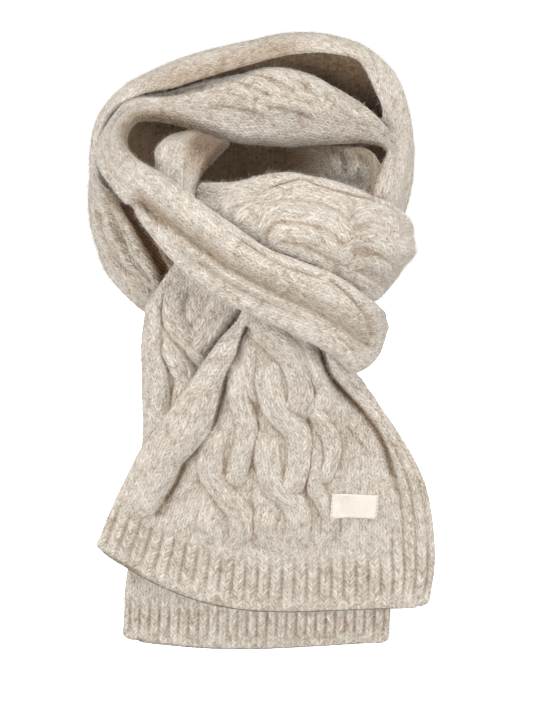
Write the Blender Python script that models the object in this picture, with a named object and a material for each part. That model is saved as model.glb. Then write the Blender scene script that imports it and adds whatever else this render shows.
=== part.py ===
"""A brushed cable-knit scarf, wound twice round a neck that is not there, with both ends hanging.

One knitted strip is built as the stretches that show. Each stretch is a loft through rows of a
short table: a row is one cross-section of the strip, and it runs from its first edge to its last.
Every stretch is a wall with a plain inner face. Folds bend the whole wall. Cables, grooves and ribs
are raised in the outer points alone. All tables are in millimetres: X to the right, Y away, Z up.
"""

import math
from typing import NamedTuple

import bpy
import numpy as np
from mathutils import Vector
from mathutils.bvhtree import BVHTree

MM = 0.001
WALL = 5.0  # brushed knit, flattened between the cables
SEAM_GAP = 0.4  # between two stretches of the one strip
RIBS = 28  # ribs across a hem
RIB_HEIGHT = 3.0
CABLE_PERIOD = 55.0  # from one crossing of a cable to the next
LABEL_SIZE = (34.0, 18.0)
LABEL_CENTRE = (73.8, -243.8)  # X and Z on the front tail
LABEL_TURN = math.radians(-4.5)
LABEL_THICK = 1.0
LABEL_LIFT = 0.8


class Row(NamedTuple):
    """One cross-section of a stretch.

    first and last are the outermost corners of its two edges. swell is how far its middle stands
    out, and sag how far it hangs back along the stretch. Each edge rolls inward by its turn (in
    degrees) round its radius.
    """

    first: tuple
    last: tuple
    swell: float
    sag: float
    first_radius: float
    first_turn: float
    last_radius: float
    last_turn: float


class Fold(NamedTuple):
    """A soft fold of the whole wall along a path of (X, Z) points; a crease has a negative height."""

    path: tuple
    width: float
    height: float
    end_height: float


class Cable(NamedTuple):
    """A twisted cable raised along a path of (X, Z) points."""

    path: tuple
    half_width: float
    height: float
    phase: float


class Ridge(NamedTuple):
    """A ridge (or a groove, with a negative height) that runs the length of a stretch.

    at is its place across the strip, as a share, and width its half width as a share.
    """

    at: float
    width: float
    height: float


# The outer loop: up the right side, round the nape, down the left side and behind the tails.
OUTER_LOOP = (
    #   first edge       last edge        swell sag  radius turn  radius turn
    Row((98, -8, -62), (108, 26, -68), 2.0, 0, 6.0, 70, 6.0, 60),
    Row((107, 2, -40), (116, 44, -48), 3.0, 0, 7.0, 90, 6.0, 60),
    Row((118, 32, -6), (117, 72, -30), 3.0, 0, 9.0, 110, 6.0, 60),
    Row((121, 49, 22), (111, 91, -34), 4.0, 0, 14.0, 145, 6.0, 60),
    Row((115, 60, 46), (98, 98, -42), 4.0, 0, 16.0, 150, 6.0, 60),
    Row((95, 84, 65), (78, 107, -50), 4.0, 0, 15.0, 145, 6.0, 60),
    Row((64, 96, 75), (52, 111, -56), 4.0, 0, 15.0, 160, 6.0, 60),
    Row((30, 100, 77), (22, 113, -58), 4.0, 0, 16.0, 170, 6.0, 60),
    Row((-5, 99, 71), (-10, 112, -58), 4.0, 0, 16.0, 175, 6.0, 60),
    Row((-40, 94, 64), (-42, 106, -60), 4.0, 0, 17.0, 175, 6.0, 60),
    Row((-74, 82, 54), (-77, 93, -65), 4.0, 0, 16.0, 170, 6.0, 60),
    Row((-103, 59, 40), (-101, 70, -69), 4.0, 0, 12.0, 145, 6.0, 60),
    Row((-118, 29, 20), (-111, 43, -74), 3.0, 0, 8.0, 110, 6.0, 60),
    Row((-120, -2, -9), (-114, 14, -79), 3.0, 0, 7.0, 90, 7.0, 70),
    Row((-113, -26, -22), (-113, -8, -84), 4.0, 0, 7.0, 90, 7.0, 80),
    Row((-97, -44, -34), (-107, -28, -91), 4.0, 0, 7.0, 90, 7.0, 80),
    Row((-78, -54, -50), (-94, -42, -102), 4.0, 0, 7.0, 90, 7.0, 80),
    Row((-58, -60, -70), (-78, -52, -113), 4.0, 0, 7.0, 80, 7.0, 80),
    Row((-36, -63, -84), (-50, -57, -122), 3.0, 0, 7.0, 70, 7.0, 70),
    Row((0, -66, -93), (-4, -62, -130), 2.0, 0, 7.0, 60, 7.0, 60),
    Row((45, -66, -99), (45, -62, -132), 2.0, 0, 7.0, 60, 7.0, 60),
    Row((84, -54, -104), (84, -52, -130), 2.0, 0, 7.0, 50, 7.0, 50),
)
NAPE_OUTER_END = 0.44
LEFT_WRAP_END = 0.79

# The inner loop: up inside the right side, round the nape, round the left and across the front.
INNER_LOOP = (
    Row((83, -35, -36), (100, -29, -49), 1.0, 0, 6.0, 60, 6.0, 60),
    Row((86, -32, -24), (107.5, -24, -36.5), 3.0, 0, 6.0, 70, 6.0, 60),
    Row((92, -22, -12), (113, -14, -17), 3.0, 0, 7.0, 90, 6.0, 70),
    Row((99, -6, 0), (114, 6, 1), 3.0, 0, 7.0, 90, 6.0, 70),
    Row((97, 15, 5), (106, 27, 9), 3.0, 0, 7.0, 100, 6.0, 60),
    Row((80, 34, 4), (88, 50, 25), 3.0, 0, 8.0, 110, 6.0, 50),
    Row((54, 44, 1), (66, 68, 38), 4.0, 0, 8.0, 120, 6.0, 40),
    Row((28, 48, -3), (40, 75, 50), 5.0, 0, 8.0, 120, 6.0, 40),
    Row((7, 49, -2), (14, 77, 54), 5.0, 0, 8.0, 120, 6.0, 40),
    Row((-13, 48, 1), (-11, 78, 48), 5.0, 0, 8.0, 120, 6.0, 40),
    Row((-40, 46, 12), (-40, 77, 42), 4.0, 0, 8.0, 120, 6.0, 40),
    Row((-65, 40, 22), (-70, 70, 33), 3.0, 0, 8.0, 110, 6.0, 50),
    Row((-85, 25, 26), (-94, 54, 29), 3.0, 0, 8.0, 110, 6.0, 50),
    Row((-95, 5, 22), (-108, 27, 14), 3.0, 0, 8.0, 110, 6.0, 60),
    Row((-97, -20, 15), (-115, -4, 1), 3.0, 0, 8.0, 110, 6.0, 70),
    Row((-90, -48, 8), (-112, -36, -8), 3.0, 0, 8.0, 110, 7.0, 80),
    Row((-78, -70, 3), (-102, -59, -16), 4.0, 0, 8.0, 100, 7.0, 90),
    Row((-61, -90, -5), (-85, -78, -32), 4.0, 0, 8.0, 90, 7.0, 90),
    Row((-36, -105, -21), (-62, -96, -58), 5.0, 0, 8.0, 90, 7.0, 90),
    Row((-12, -112, -36), (-32, -108, -84), 5.0, 0, 8.0, 90, 7.0, 90),
    Row((9, -115, -50), (-1, -113, -99), 5.0, 0, 8.0, 90, 7.0, 90),
    Row((34, -114, -60), (32, -112, -115), 5.0, 0, 8.0, 90, 7.0, 90),
    Row((58, -109, -70), (57, -109, -129), 5.0, 0, 8.0, 90, 7.0, 90),
    Row((77, -101, -82), (75, -103, -144), 4.0, 0, 8.0, 90, 7.0, 90),
    Row((90, -86, -94), (90, -84, -140), 3.0, 0, 8.0, 90, 7.0, 90),
    Row((97, -66, -104), (97, -64, -132), 2.0, 0, 7.0, 60, 7.0, 60),
)
NAPE_INNER_END = 0.40
LEFT_TURN_END = 0.62

# Across the front, from behind the left fold to the cuff round the right side.
FRONT_WRAP = (
    Row((-39, -62, -13), (-36, -68, -41), 2.0, 0, 6.0, 80, 6.0, 40),
    Row((-28, -77, -10), (-28, -88, -48), 6.0, 0, 8.0, 90, 6.0, 40),
    Row((-8, -81, -7), (-12, -98, -58), 9.0, 0, 9.0, 90, 6.0, 40),
    Row((7, -82, -3), (6, -102, -67), 10.0, 0, 10.0, 90, 6.0, 40),
    Row((24, -81, -1), (23, -103, -74), 12.0, 0, 10.0, 90, 6.0, 40),
    Row((48, -77, -5), (50, -99, -85), 14.0, 0, 10.0, 90, 6.0, 40),
    Row((70, -69, -12), (70, -91, -93), 15.0, 0, 10.0, 90, 6.0, 40),
    Row((90, -55, -22), (84, -76, -100), 14.0, 0, 10.0, 90, 6.0, 50),
    Row((106, -37, -33), (94, -60, -99), 11.0, 0, 9.0, 90, 6.0, 60),
    Row((116, -18, -45), (103, -42, -93), 8.0, 0, 8.0, 80, 6.0, 60),
    Row((121, 4, -57), (109, -16, -90), 5.0, 0, 7.0, 70, 6.0, 60),
    Row((119, 24, -68), (111, 8, -90), 2.0, 0, 7.0, 60, 6.0, 60),
)

# The strand inside the ring: under the nape, round the right and behind the front wrap.
THROAT_WRAP = (
    Row((26, 64, -6), (27, 62, -44), 1.0, 0, 6.0, 50, 6.0, 50),
    Row((58, 56, -4), (60, 54, -46), 2.0, 0, 6.0, 50, 6.0, 50),
    Row((83, 33, -3), (84, 31, -50), 2.0, 0, 6.0, 50, 6.0, 50),
    Row((90, 4, -11), (90, 2, -56), 2.0, 0, 6.0, 50, 6.0, 50),
    Row((75, -23, -25), (77, -27, -64), 2.0, 0, 6.0, 50, 6.0, 50),
    Row((50, -46, -26), (50, -51, -66), 2.0, 0, 6.0, 50, 6.0, 50),
    Row((18, -56, -24), (18, -62, -64), 2.0, 0, 6.0, 50, 6.0, 50),
)

# The front end of the scarf, from its hem up to where the crossing grips it.
FRONT_TAIL = (
    Row((-117, -90, -279), (131, -90, -324), 4.0, 23, 6.0, 60, 6.0, 60),
    Row((-106, -91, -252), (135, -91, -286), 5.0, 19, 6.0, 70, 6.0, 70),
    Row((-94, -92, -229), (127, -92, -231), 5.0, 9, 7.0, 80, 7.0, 80),
    Row((-82, -93, -206), (115, -93, -206), 5.0, 4, 8.0, 90, 8.0, 90),
    Row((-60, -95, -176), (97, -94, -178), 5.0, 2, 8.0, 90, 8.0, 90),
    Row((-39, -97, -145), (78, -95, -150), 4.0, 0, 8.0, 90, 8.0, 90),
    Row((-23, -98, -122), (66, -95, -135), 3.0, 0, 7.0, 90, 7.0, 90),
    Row((-10, -99, -105), (58, -97, -117), 2.0, 0, 6.0, 80, 6.0, 80),
    Row((-5, -101, -90), (51, -98, -103), 1.0, 0, 6.0, 60, 6.0, 60),
    Row((-1, -102, -63), (50, -98, -85), 0.5, 0, 6.0, 50, 6.0, 50),
)
FRONT_RIB_END = 0.168

# The back end of the scarf, from its hem up behind the crossing, then gathered and back inside the
# ring at the left.
BACK_TAIL = (
    Row((-98, -80, -352), (103, -80, -355), 3.0, 5, 6.0, 60, 6.0, 60),
    Row((-96, -80, -320), (104, -80, -322), 3.0, 3, 6.0, 60, 6.0, 60),
    Row((-91, -80, -281), (100, -80, -281), 3.0, 0, 6.0, 60, 6.0, 60),
    Row((-83, -80, -228), (87, -80, -228), 3.0, 0, 6.0, 70, 6.0, 60),
    Row((-80, -81, -190), (67, -80, -190), 3.0, 0, 7.0, 80, 6.0, 60),
    Row((-80, -82, -152), (49, -80, -152), 3.0, 0, 8.0, 90, 6.0, 60),
    Row((-79, -82, -119), (34, -80, -119), 3.0, 0, 8.0, 90, 6.0, 60),
    Row((-75, -80, -98), (27, -80, -98), 3.0, 0, 8.0, 90, 6.0, 60),
    Row((-65, -79, -82), (20, -80, -82), 2.0, 0, 7.0, 80, 6.0, 60),
    Row((-56, -80, -66), (2, -81, -68), 2.0, 0, 6.0, 60, 6.0, 60),
    Row((-60, -83, -42), (-24, -84, -50), 3.0, 0, 6.0, 60, 6.0, 60),
    Row((-62, -81, -20), (-37, -83, -34), 5.0, 0, 7.0, 65, 7.0, 70),
    Row((-65, -73, -6), (-38, -72, -20), 7.0, 0, 8.0, 70, 8.0, 80),
    Row((-68, -56, 1), (-36, -52, -11), 8.0, 0, 8.0, 80, 8.0, 90),
    Row((-69, -28, 4), (-31, -25, -8), 8.0, 0, 8.0, 80, 8.0, 90),
    Row((-67, 2, 3), (-24, 8, -7), 7.0, 0, 8.0, 80, 8.0, 80),
    Row((-61, 40, -1), (-16, 42, -4), 5.0, 0, 8.0, 80, 8.0, 80),
    Row((-58, 58, -12), (-28, 58, -16), 3.0, 0, 8.0, 70, 8.0, 70),
)
BACK_RIB_END = 0.070
BACK_TAIL_END = 0.675

FRONT_TAIL_FOLDS = (
    Fold(((-12, -116), (-34, -160), (-66, -212), (-96, -269)), 22.0, 5.0, 5.0),
    Fold(((-9, -108), (-14, -142), (-32, -194), (-59, -231)), 8.0, -7.0, -2.0),
    Fold(((47, -120), (57, -150), (88, -187), (105, -240)), 7.0, -7.0, -1.0),
    Fold(((61, -136), (81, -164), (117, -231), (125, -273)), 14.0, 4.0, 3.0),
    Fold(((16, -110), (26, -140)), 8.0, 3.0, 0.0),
    Fold(((34, -115), (46, -156)), 7.0, 3.0, 0.0),
)
FRONT_TAIL_CABLES = (
    Cable(((-34, -163), (-46, -183), (-65, -212), (-79, -242), (-90, -267)), 13.0, 3.5, 10.0),
    Cable(((-5, -138), (-10, -183), (-17, -216), (-29, -270)), 15.0, 4.0, 8.0),
    Cable(((24, -135), (24, -183), (23, -239), (22, -273)), 18.0, 4.5, 10.0),
    Cable(((50, -156), (53, -186), (48, -239), (47, -273)), 9.0, 3.0, 8.0),
)
BACK_TAIL_FOLDS = (
    Fold(((-54, -70), (-69, -93), (-73, -119), (-66, -145), (-55, -163)), 9.0, 4.0, 3.0),
    Fold(((-37, -76), (-54, -106), (-56, -126), (-46, -146)), 8.0, 4.0, 2.0),
    Fold(((-20, -84), (-36, -112), (-39, -126), (-36, -139)), 7.0, 3.0, 2.0),
)
BACK_TAIL_CABLES = (
    Cable(((-62, -180), (-62, -315)), 14.0, 2.0, 0.0),
    Cable(((2, -180), (2, -315)), 16.0, 2.0, 0.0),
    Cable(((62, -230), (66, -315)), 14.0, 2.0, 0.0),
)
FRONT_WRAP_CABLES = (
    Cable(((-21, -19), (9, -16), (48, -24), (80, -35), (104, -48)), 13.0, 4.0, 0.0),
    Cable(((10, -42), (34, -50), (66, -62), (94, -76)), 12.0, 4.0, 20.0),
)
NAPE_CABLES = (Cable(((70, 30), (40, 40), (5, 44), (-30, 34)), 9.0, 3.0, 0.0),)

CROSSING_RIDGES = (
    Ridge(0.36, 0.16, 2.0),
    Ridge(0.66, 0.07, -3.5),
    Ridge(0.84, 0.10, 2.0),
)
LEFT_TURN_RIDGES = (Ridge(0.36, 0.16, 1.5), Ridge(0.66, 0.07, -1.5))
NAPE_OUTER_RIDGES = (Ridge(0.42, 0.06, 2.0), Ridge(0.58, 0.06, 2.0), Ridge(0.74, 0.06, 2.0))
LEFT_WRAP_RIDGES = (Ridge(0.34, 0.08, 2.5), Ridge(0.54, 0.08, 2.5), Ridge(0.74, 0.08, 2.5))
THROAT_RIDGES = (Ridge(0.35, 0.14, 2.0), Ridge(0.68, 0.14, 2.0))

COLOURS = {
    "oatmeal_knit": (0.66, 0.60, 0.53, 1.0),
    "cream_tape": (0.80, 0.74, 0.64, 1.0),
}


def clear_scene():
    """Remove every object that is already in the scene."""
    for obj in list(bpy.data.objects):
        bpy.data.objects.remove(obj, do_unlink=True)


def spline(knots, values, at):
    """Hermite interpolation through values at knots, with slopes taken from the neighbours."""
    slopes = np.gradient(values, knots, axis=0)
    i = np.clip(np.searchsorted(knots, at, side="right") - 1, 0, len(knots) - 2)
    span = knots[i + 1] - knots[i]
    f = ((at - knots[i]) / span)[:, None]
    span = span[:, None]
    hermite = (2 * f**3 - 3 * f**2 + 1) * values[i]
    hermite += (f**3 - 2 * f**2 + f) * span * slopes[i]
    hermite += (3 * f**2 - 2 * f**3) * values[i + 1]
    hermite += (f**3 - f**2) * span * slopes[i + 1]
    return hermite


def section(width, swell, first_radius, first_turn, last_radius, last_turn, v):
    """Distances across and outward, at shares v of one cross-section."""
    first_arc = first_radius * first_turn
    last_arc = last_radius * last_turn
    face = width - first_radius - last_radius
    run = v * (first_arc + face + last_arc)
    on_face = np.clip((run - first_arc) / face, 0.0, 1.0)
    across = first_radius + on_face * face
    outward = swell * np.sin(math.pi * on_face) ** 2
    angle = np.clip(first_arc - run, 0.0, None) / first_radius
    across -= first_radius * np.sin(angle)
    outward -= first_radius * (1.0 - np.cos(angle))
    angle = np.clip(run - first_arc - face, 0.0, None) / last_radius
    across += last_radius * np.sin(angle)
    outward -= last_radius * (1.0 - np.cos(angle))
    return across, outward, on_face


def unit(vectors):
    """Vectors at length one."""
    return vectors / np.linalg.norm(vectors, axis=-1, keepdims=True)


class Stretch:
    """The smooth outer surface of one table of rows."""

    def __init__(self, rows):
        self.values = np.array([[*r.first, *r.last, *r[2:]] for r in rows], float)
        middle = (self.values[:, 0:3] + self.values[:, 3:6]) / 2.0
        steps = np.linalg.norm(np.diff(middle, axis=0), axis=1)
        self.length = steps.sum()
        self.knots = np.concatenate([[0.0], np.cumsum(steps)]) / self.length

    def points(self, us, vs):
        """Points at shares us of the length and vs of the cross-section, and each row's heading."""
        eps = 1e-3
        rows = spline(self.knots, self.values, us)
        ahead = spline(self.knots, self.values, np.minimum(us + eps, 1.0))
        behind = spline(self.knots, self.values, np.maximum(us - eps, 0.0))
        along = unit((ahead - behind)[:, 0:3] + (ahead - behind)[:, 3:6])
        grid = np.empty((len(us), len(vs), 3))
        travel = np.empty((len(us), 1, 3))
        for i, row in enumerate(rows):
            chord = row[3:6] - row[0:3]
            width = np.linalg.norm(chord)
            chord = chord / width
            out = unit(np.cross(chord, along[i]))
            turns = (math.radians(row[9]), math.radians(row[11]))
            across, outward, face = section(
                width, row[6], row[8], turns[0], row[10], turns[1], vs
            )
            travel[i] = np.cross(out, chord)
            back = row[7] * np.sin(math.pi * face) * (1.0 + 0.35 * np.cos(math.pi * face))
            grid[i] = row[0:3] + np.outer(across, chord) + np.outer(outward, out)
            grid[i] -= np.outer(back, travel[i])
        return grid, travel

    def surface(self, us, vs):
        """Points and outward normals of the same grid, each normal in the plane of its row."""
        eps = 1e-3
        grid, travel = self.points(us, vs)
        ahead = self.points(us, np.minimum(vs + eps, 1.0))[0]
        behind = self.points(us, np.maximum(vs - eps, 0.0))[0]
        return grid, unit(np.cross(ahead - behind, travel))


def along_path(path, x, z):
    """Place along and signed distance from a path of (X, Z) points, and the path's length."""
    best = np.full(x.shape, np.inf)
    place = np.zeros(x.shape)
    side = np.zeros(x.shape)
    travelled = 0.0
    for (ax, az), (bx, bz) in zip(path, path[1:]):
        step = math.hypot(bx - ax, bz - az)
        tx, tz = (bx - ax) / step, (bz - az) / step
        run = np.clip((x - ax) * tx + (z - az) * tz, 0.0, step)
        off_x, off_z = x - ax - run * tx, z - az - run * tz
        distance = np.hypot(off_x, off_z)
        nearer = distance < best
        best = np.where(nearer, distance, best)
        place = np.where(nearer, travelled + run, place)
        side = np.where(nearer, np.sign(off_x * tz - off_z * tx), side)
        travelled += step
    return place, side * best, travelled


def dome(distance, half_width):
    """One at the middle, falling smoothly to zero at the half width."""
    return np.where(
        np.abs(distance) < half_width, np.cos(math.pi * distance / half_width / 2) ** 2, 0.0
    )


def fold_height(grid, folds):
    """How far each point of the wall is pushed out by its folds."""
    height = np.zeros(grid.shape[:2])
    for fold in folds:
        place, side, length = along_path(fold.path, grid[..., 0], grid[..., 2])
        rise = fold.height + (fold.end_height - fold.height) * place / length
        height += rise * dome(side, fold.width)
    return height


def cable_height(grid, cables):
    """How far the two strands of each cable stand out of the wall."""
    height = np.zeros(grid.shape[:2])
    for cable in cables:
        place, side, _ = along_path(cable.path, grid[..., 0], grid[..., 2])
        turn = math.pi * (place + cable.phase) / CABLE_PERIOD
        reach = cable.half_width / 2
        for sign in (1.0, -1.0):
            strand = dome(side - sign * reach * np.cos(turn), cable.half_width * 0.62)
            over = 0.75 + 0.25 * sign * np.sin(turn)
            height = np.maximum(height, cable.height * over * strand)
    return height


def ridge_height(vs, count, ridges):
    """Height of the ridges that run the length of a stretch."""
    row = sum(ridge.height * dome(vs - ridge.at, ridge.width) for ridge in ridges)
    return np.tile(row, (count, 1))


def edge_fade(vs, margin=0.12):
    """Zero at both edges of a cross-section and one inside them."""
    inside = np.minimum(vs, 1.0 - vs) / margin
    return np.clip(inside, 0.0, 1.0)[None, :]


def wall_mesh(name, outer, inner, finish, collection):
    """One closed solid between an outer and an inner grid of points."""
    rows, columns = outer.shape[:2]
    points = np.concatenate([outer.reshape(-1, 3), inner.reshape(-1, 3)]) * MM
    ids = np.arange(rows * columns).reshape(rows, columns)
    under = ids + rows * columns
    faces = []
    for i in range(rows - 1):
        for j in range(columns - 1):
            corners = (ids[i, j], ids[i, j + 1], ids[i + 1, j + 1], ids[i + 1, j])
            faces.append(corners)
            faces.append([under[i, j], under[i + 1, j], under[i + 1, j + 1], under[i, j + 1]])
        faces.append([ids[i, 0], ids[i + 1, 0], under[i + 1, 0], under[i, 0]])
        faces.append([ids[i + 1, -1], ids[i, -1], under[i, -1], under[i + 1, -1]])
    for j in range(columns - 1):
        faces.append([ids[0, j + 1], ids[0, j], under[0, j], under[0, j + 1]])
        faces.append([ids[-1, j], ids[-1, j + 1], under[-1, j + 1], under[-1, j]])
    mesh = bpy.data.meshes.new(name)
    mesh.from_pydata(points.tolist(), [], [[int(k) for k in face] for face in faces])
    mesh.materials.append(finish)
    obj = bpy.data.objects.new(name, mesh)
    collection.objects.link(obj)
    return obj


def finish_material(name, roughness):
    """A Principled finish in one of the named colours."""
    material = bpy.data.materials.new(name)
    material.use_nodes = True
    shader = material.node_tree.nodes["Principled BSDF"]
    shader.inputs["Base Color"].default_value = COLOURS[name]
    shader.inputs["Roughness"].default_value = roughness
    return material


class Scarf:
    """Builds the stretches of the scarf into one collection."""

    def __init__(self):
        self.collection = bpy.data.collections.new("CableKnitScarf")
        bpy.context.scene.collection.children.link(self.collection)
        self.knit = finish_material("oatmeal_knit", 0.95)
        self.tape = finish_material("cream_tape", 0.8)

    def stretch(self, name, rows, span, grid_size, folds=(), cables=(), ridges=(), ribs=0):
        """Build one stretch of a loft between two shares of its length."""
        loft = Stretch(rows)
        gap = SEAM_GAP / 2 / loft.length
        us = np.linspace(span[0] + gap * (span[0] > 0), span[1] - gap * (span[1] < 1), grid_size[0])
        vs = np.linspace(0.0, 1.0, grid_size[1])
        base, normals = loft.surface(us, vs)
        bend = fold_height(base, folds) * edge_fade(vs)
        relief = cable_height(base, cables) + ridge_height(vs, len(us), ridges)
        relief *= edge_fade(vs)
        if ribs:
            relief += RIB_HEIGHT * (np.arange(len(vs)) % 2)[None, :]
        outer = base + normals * (bend + relief)[..., None]
        inner = base + normals * (bend - WALL)[..., None]
        return wall_mesh(name, outer, inner, self.knit, self.collection)

    def label(self, name, tail):
        """Build the blank woven label, its points moved out from the front tail."""
        tree = BVHTree.FromPolygons(
            [v.co for v in tail.data.vertices], [p.vertices for p in tail.data.polygons]
        )
        columns, rows = 9, 6
        outer = np.empty((rows, columns, 3))
        across = np.linspace(-LABEL_SIZE[0] / 2, LABEL_SIZE[0] / 2, columns)
        upward = np.linspace(-LABEL_SIZE[1] / 2, LABEL_SIZE[1] / 2, rows)
        for i, dz in enumerate(upward):
            for j, dx in enumerate(across):
                x = LABEL_CENTRE[0] + dx * math.cos(LABEL_TURN) - dz * math.sin(LABEL_TURN)
                z = LABEL_CENTRE[1] + dx * math.sin(LABEL_TURN) + dz * math.cos(LABEL_TURN)
                start = Vector((x * MM, -0.3, z * MM))
                hit = tree.ray_cast(start, Vector((0.0, 1.0, 0.0)))[0]
                outer[i, j] = (x, hit.y / MM - LABEL_LIFT - LABEL_THICK, z)
        inner = outer + np.array([0.0, LABEL_THICK, 0.0])
        wall_mesh(name, outer, inner, self.tape, self.collection)


def main():
    """Build every stretch of the scarf and its label."""
    clear_scene()
    scarf = Scarf()
    scarf.stretch("nape_outer", OUTER_LOOP, (0, NAPE_OUTER_END), (24, 16), ridges=NAPE_OUTER_RIDGES)
    scarf.stretch(
        "left_wrap", OUTER_LOOP, (NAPE_OUTER_END, LEFT_WRAP_END), (20, 16), ridges=LEFT_WRAP_RIDGES
    )
    scarf.stretch("loop_back", OUTER_LOOP, (LEFT_WRAP_END, 1), (10, 16))
    scarf.stretch("nape_inner", INNER_LOOP, (0, NAPE_INNER_END), (22, 16), cables=NAPE_CABLES)
    scarf.stretch(
        "left_turn", INNER_LOOP, (NAPE_INNER_END, LEFT_TURN_END), (16, 16), ridges=LEFT_TURN_RIDGES
    )
    scarf.stretch(
        "crossing_wrap", INNER_LOOP, (LEFT_TURN_END, 1), (24, 16), ridges=CROSSING_RIDGES
    )
    scarf.stretch("front_wrap", FRONT_WRAP, (0, 1), (24, 18), cables=FRONT_WRAP_CABLES)
    scarf.stretch("throat_wrap", THROAT_WRAP, (0, 1), (14, 9), ridges=THROAT_RIDGES)
    scarf.stretch(
        "throat_fold", BACK_TAIL, (BACK_TAIL_END, 1), (13, 20), ridges=THROAT_RIDGES
    )
    front = scarf.stretch(
        "front_tail",
        FRONT_TAIL,
        (FRONT_RIB_END, 1),
        (24, 38),
        folds=FRONT_TAIL_FOLDS,
        cables=FRONT_TAIL_CABLES,
    )
    scarf.stretch(
        "front_tail_rib",
        FRONT_TAIL,
        (0, FRONT_RIB_END),
        (4, 2 * RIBS + 1),
        folds=FRONT_TAIL_FOLDS,
        ribs=RIBS,
    )
    scarf.stretch(
        "back_tail",
        BACK_TAIL,
        (BACK_RIB_END, BACK_TAIL_END),
        (18, 20),
        folds=BACK_TAIL_FOLDS,
        cables=BACK_TAIL_CABLES,
    )
    scarf.stretch("back_tail_rib", BACK_TAIL, (0, BACK_RIB_END), (3, 2 * RIBS + 1), ribs=RIBS)
    scarf.label("label", front)


main()
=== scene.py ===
"""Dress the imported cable-knit scarf: its knit, brushed fibres and blank label, in a pale studio.

Each stretch of the strip is a thin closed wall on the form of its solid. Folds bend the whole wall;
cables, ribs, ridges and single stitches are raised in its outer face. Stitches follow wales, which
are lines that run the length of the strip. Tables are in millimetres: X right, Y away, Z up.
"""

from __future__ import annotations

import logging
import math
from dataclasses import dataclass
from enum import Enum
from functools import partialmethod, reduce
from typing import NamedTuple, Sequence

import bpy
import numpy as np
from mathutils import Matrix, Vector

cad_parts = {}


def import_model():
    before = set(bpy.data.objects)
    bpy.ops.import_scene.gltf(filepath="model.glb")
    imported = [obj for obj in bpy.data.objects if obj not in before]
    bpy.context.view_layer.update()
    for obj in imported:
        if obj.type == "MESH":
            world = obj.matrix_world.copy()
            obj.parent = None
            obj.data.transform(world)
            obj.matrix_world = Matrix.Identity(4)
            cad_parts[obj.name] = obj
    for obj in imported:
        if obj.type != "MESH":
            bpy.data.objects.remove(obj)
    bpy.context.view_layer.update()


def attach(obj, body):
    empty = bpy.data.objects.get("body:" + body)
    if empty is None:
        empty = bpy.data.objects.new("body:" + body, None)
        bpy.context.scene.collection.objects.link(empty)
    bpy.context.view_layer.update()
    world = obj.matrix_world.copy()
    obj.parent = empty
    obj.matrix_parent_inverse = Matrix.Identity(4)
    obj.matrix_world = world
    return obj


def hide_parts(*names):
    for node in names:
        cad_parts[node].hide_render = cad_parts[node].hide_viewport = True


LOG = logging.getLogger("scarf")
MM = 0.001
SEED = 4127
BODY = "root"
TURN = 2 * math.pi
Array = np.ndarray
Socket = bpy.types.NodeSocket
Place = tuple[float, float, float]
Colour = tuple[float, float, float, float]
Points = tuple[tuple[float, float], ...]


class Held(Enum):
    """How a sheet of cloth is held."""

    GATHERED = "gathered"
    HUNG = "hung"
    DRAPED = "draped"
    LAID = "laid"


class Slot(Enum):
    """The material of the frame that a piece takes."""

    KNIT = "oatmeal_knit"
    TAPE = "cream_tape"


# ---- tables of the strip's sections


class Row(NamedTuple):
    """One cross-section of the strip, between the outermost corners of its two edges.

    The wall swells outwards between them and sags down the strip, and each edge rolls back round
    a radius, through a turn in degrees.
    """

    first: Place
    last: Place
    swell: float
    first_radius: float = 6
    first_turn: float = 60
    last_radius: float = 6
    last_turn: float = 60
    sag: float = 0


OUTER_LOOP = (
    Row((98, -8, -62), (108, 26, -68), 2, 6, 70),
    Row((107, 2, -40), (116, 44, -48), 3, 7, 90),
    Row((118, 32, -6), (117, 72, -30), 3, 9, 110),
    Row((121, 49, 22), (111, 91, -34), 4, 14, 145),
    Row((115, 60, 46), (98, 98, -42), 4, 16, 150),
    Row((95, 84, 65), (78, 107, -50), 4, 15, 145),
    Row((64, 96, 75), (52, 111, -56), 4, 15, 160),
    Row((30, 100, 77), (22, 113, -58), 4, 16, 170),
    Row((-5, 99, 71), (-10, 112, -58), 4, 16, 175),
    Row((-40, 94, 64), (-42, 106, -60), 4, 17, 175),
    Row((-74, 82, 54), (-77, 93, -65), 4, 16, 170),
    Row((-103, 59, 40), (-101, 70, -69), 4, 12, 145),
    Row((-118, 29, 20), (-111, 43, -74), 3, 8, 110),
    Row((-120, -2, -9), (-114, 14, -79), 3, 7, 90, 7, 70),
    Row((-113, -26, -22), (-113, -8, -84), 4, 7, 90, 7, 80),
    Row((-95.5, -44, -32), (-107, -28, -91), 4, 7, 90, 7, 80),
    Row((-76.5, -54, -48), (-94, -42, -102), 4, 7, 90, 7, 80),
    Row((-58, -60, -70), (-78, -52, -113), 4, 7, 80, 7, 80),
    Row((-36, -63, -84), (-50, -57, -122), 3, 7, 70, 7, 70),
    Row((0, -66, -93), (-4, -62, -130), 2, 7, 60, 7),
    Row((45, -66, -99), (45, -62, -132), 2, 7, 60, 7),
    Row((84, -54, -104), (84, -52, -130), 2, 7, 50, 7, 50),
)
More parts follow.
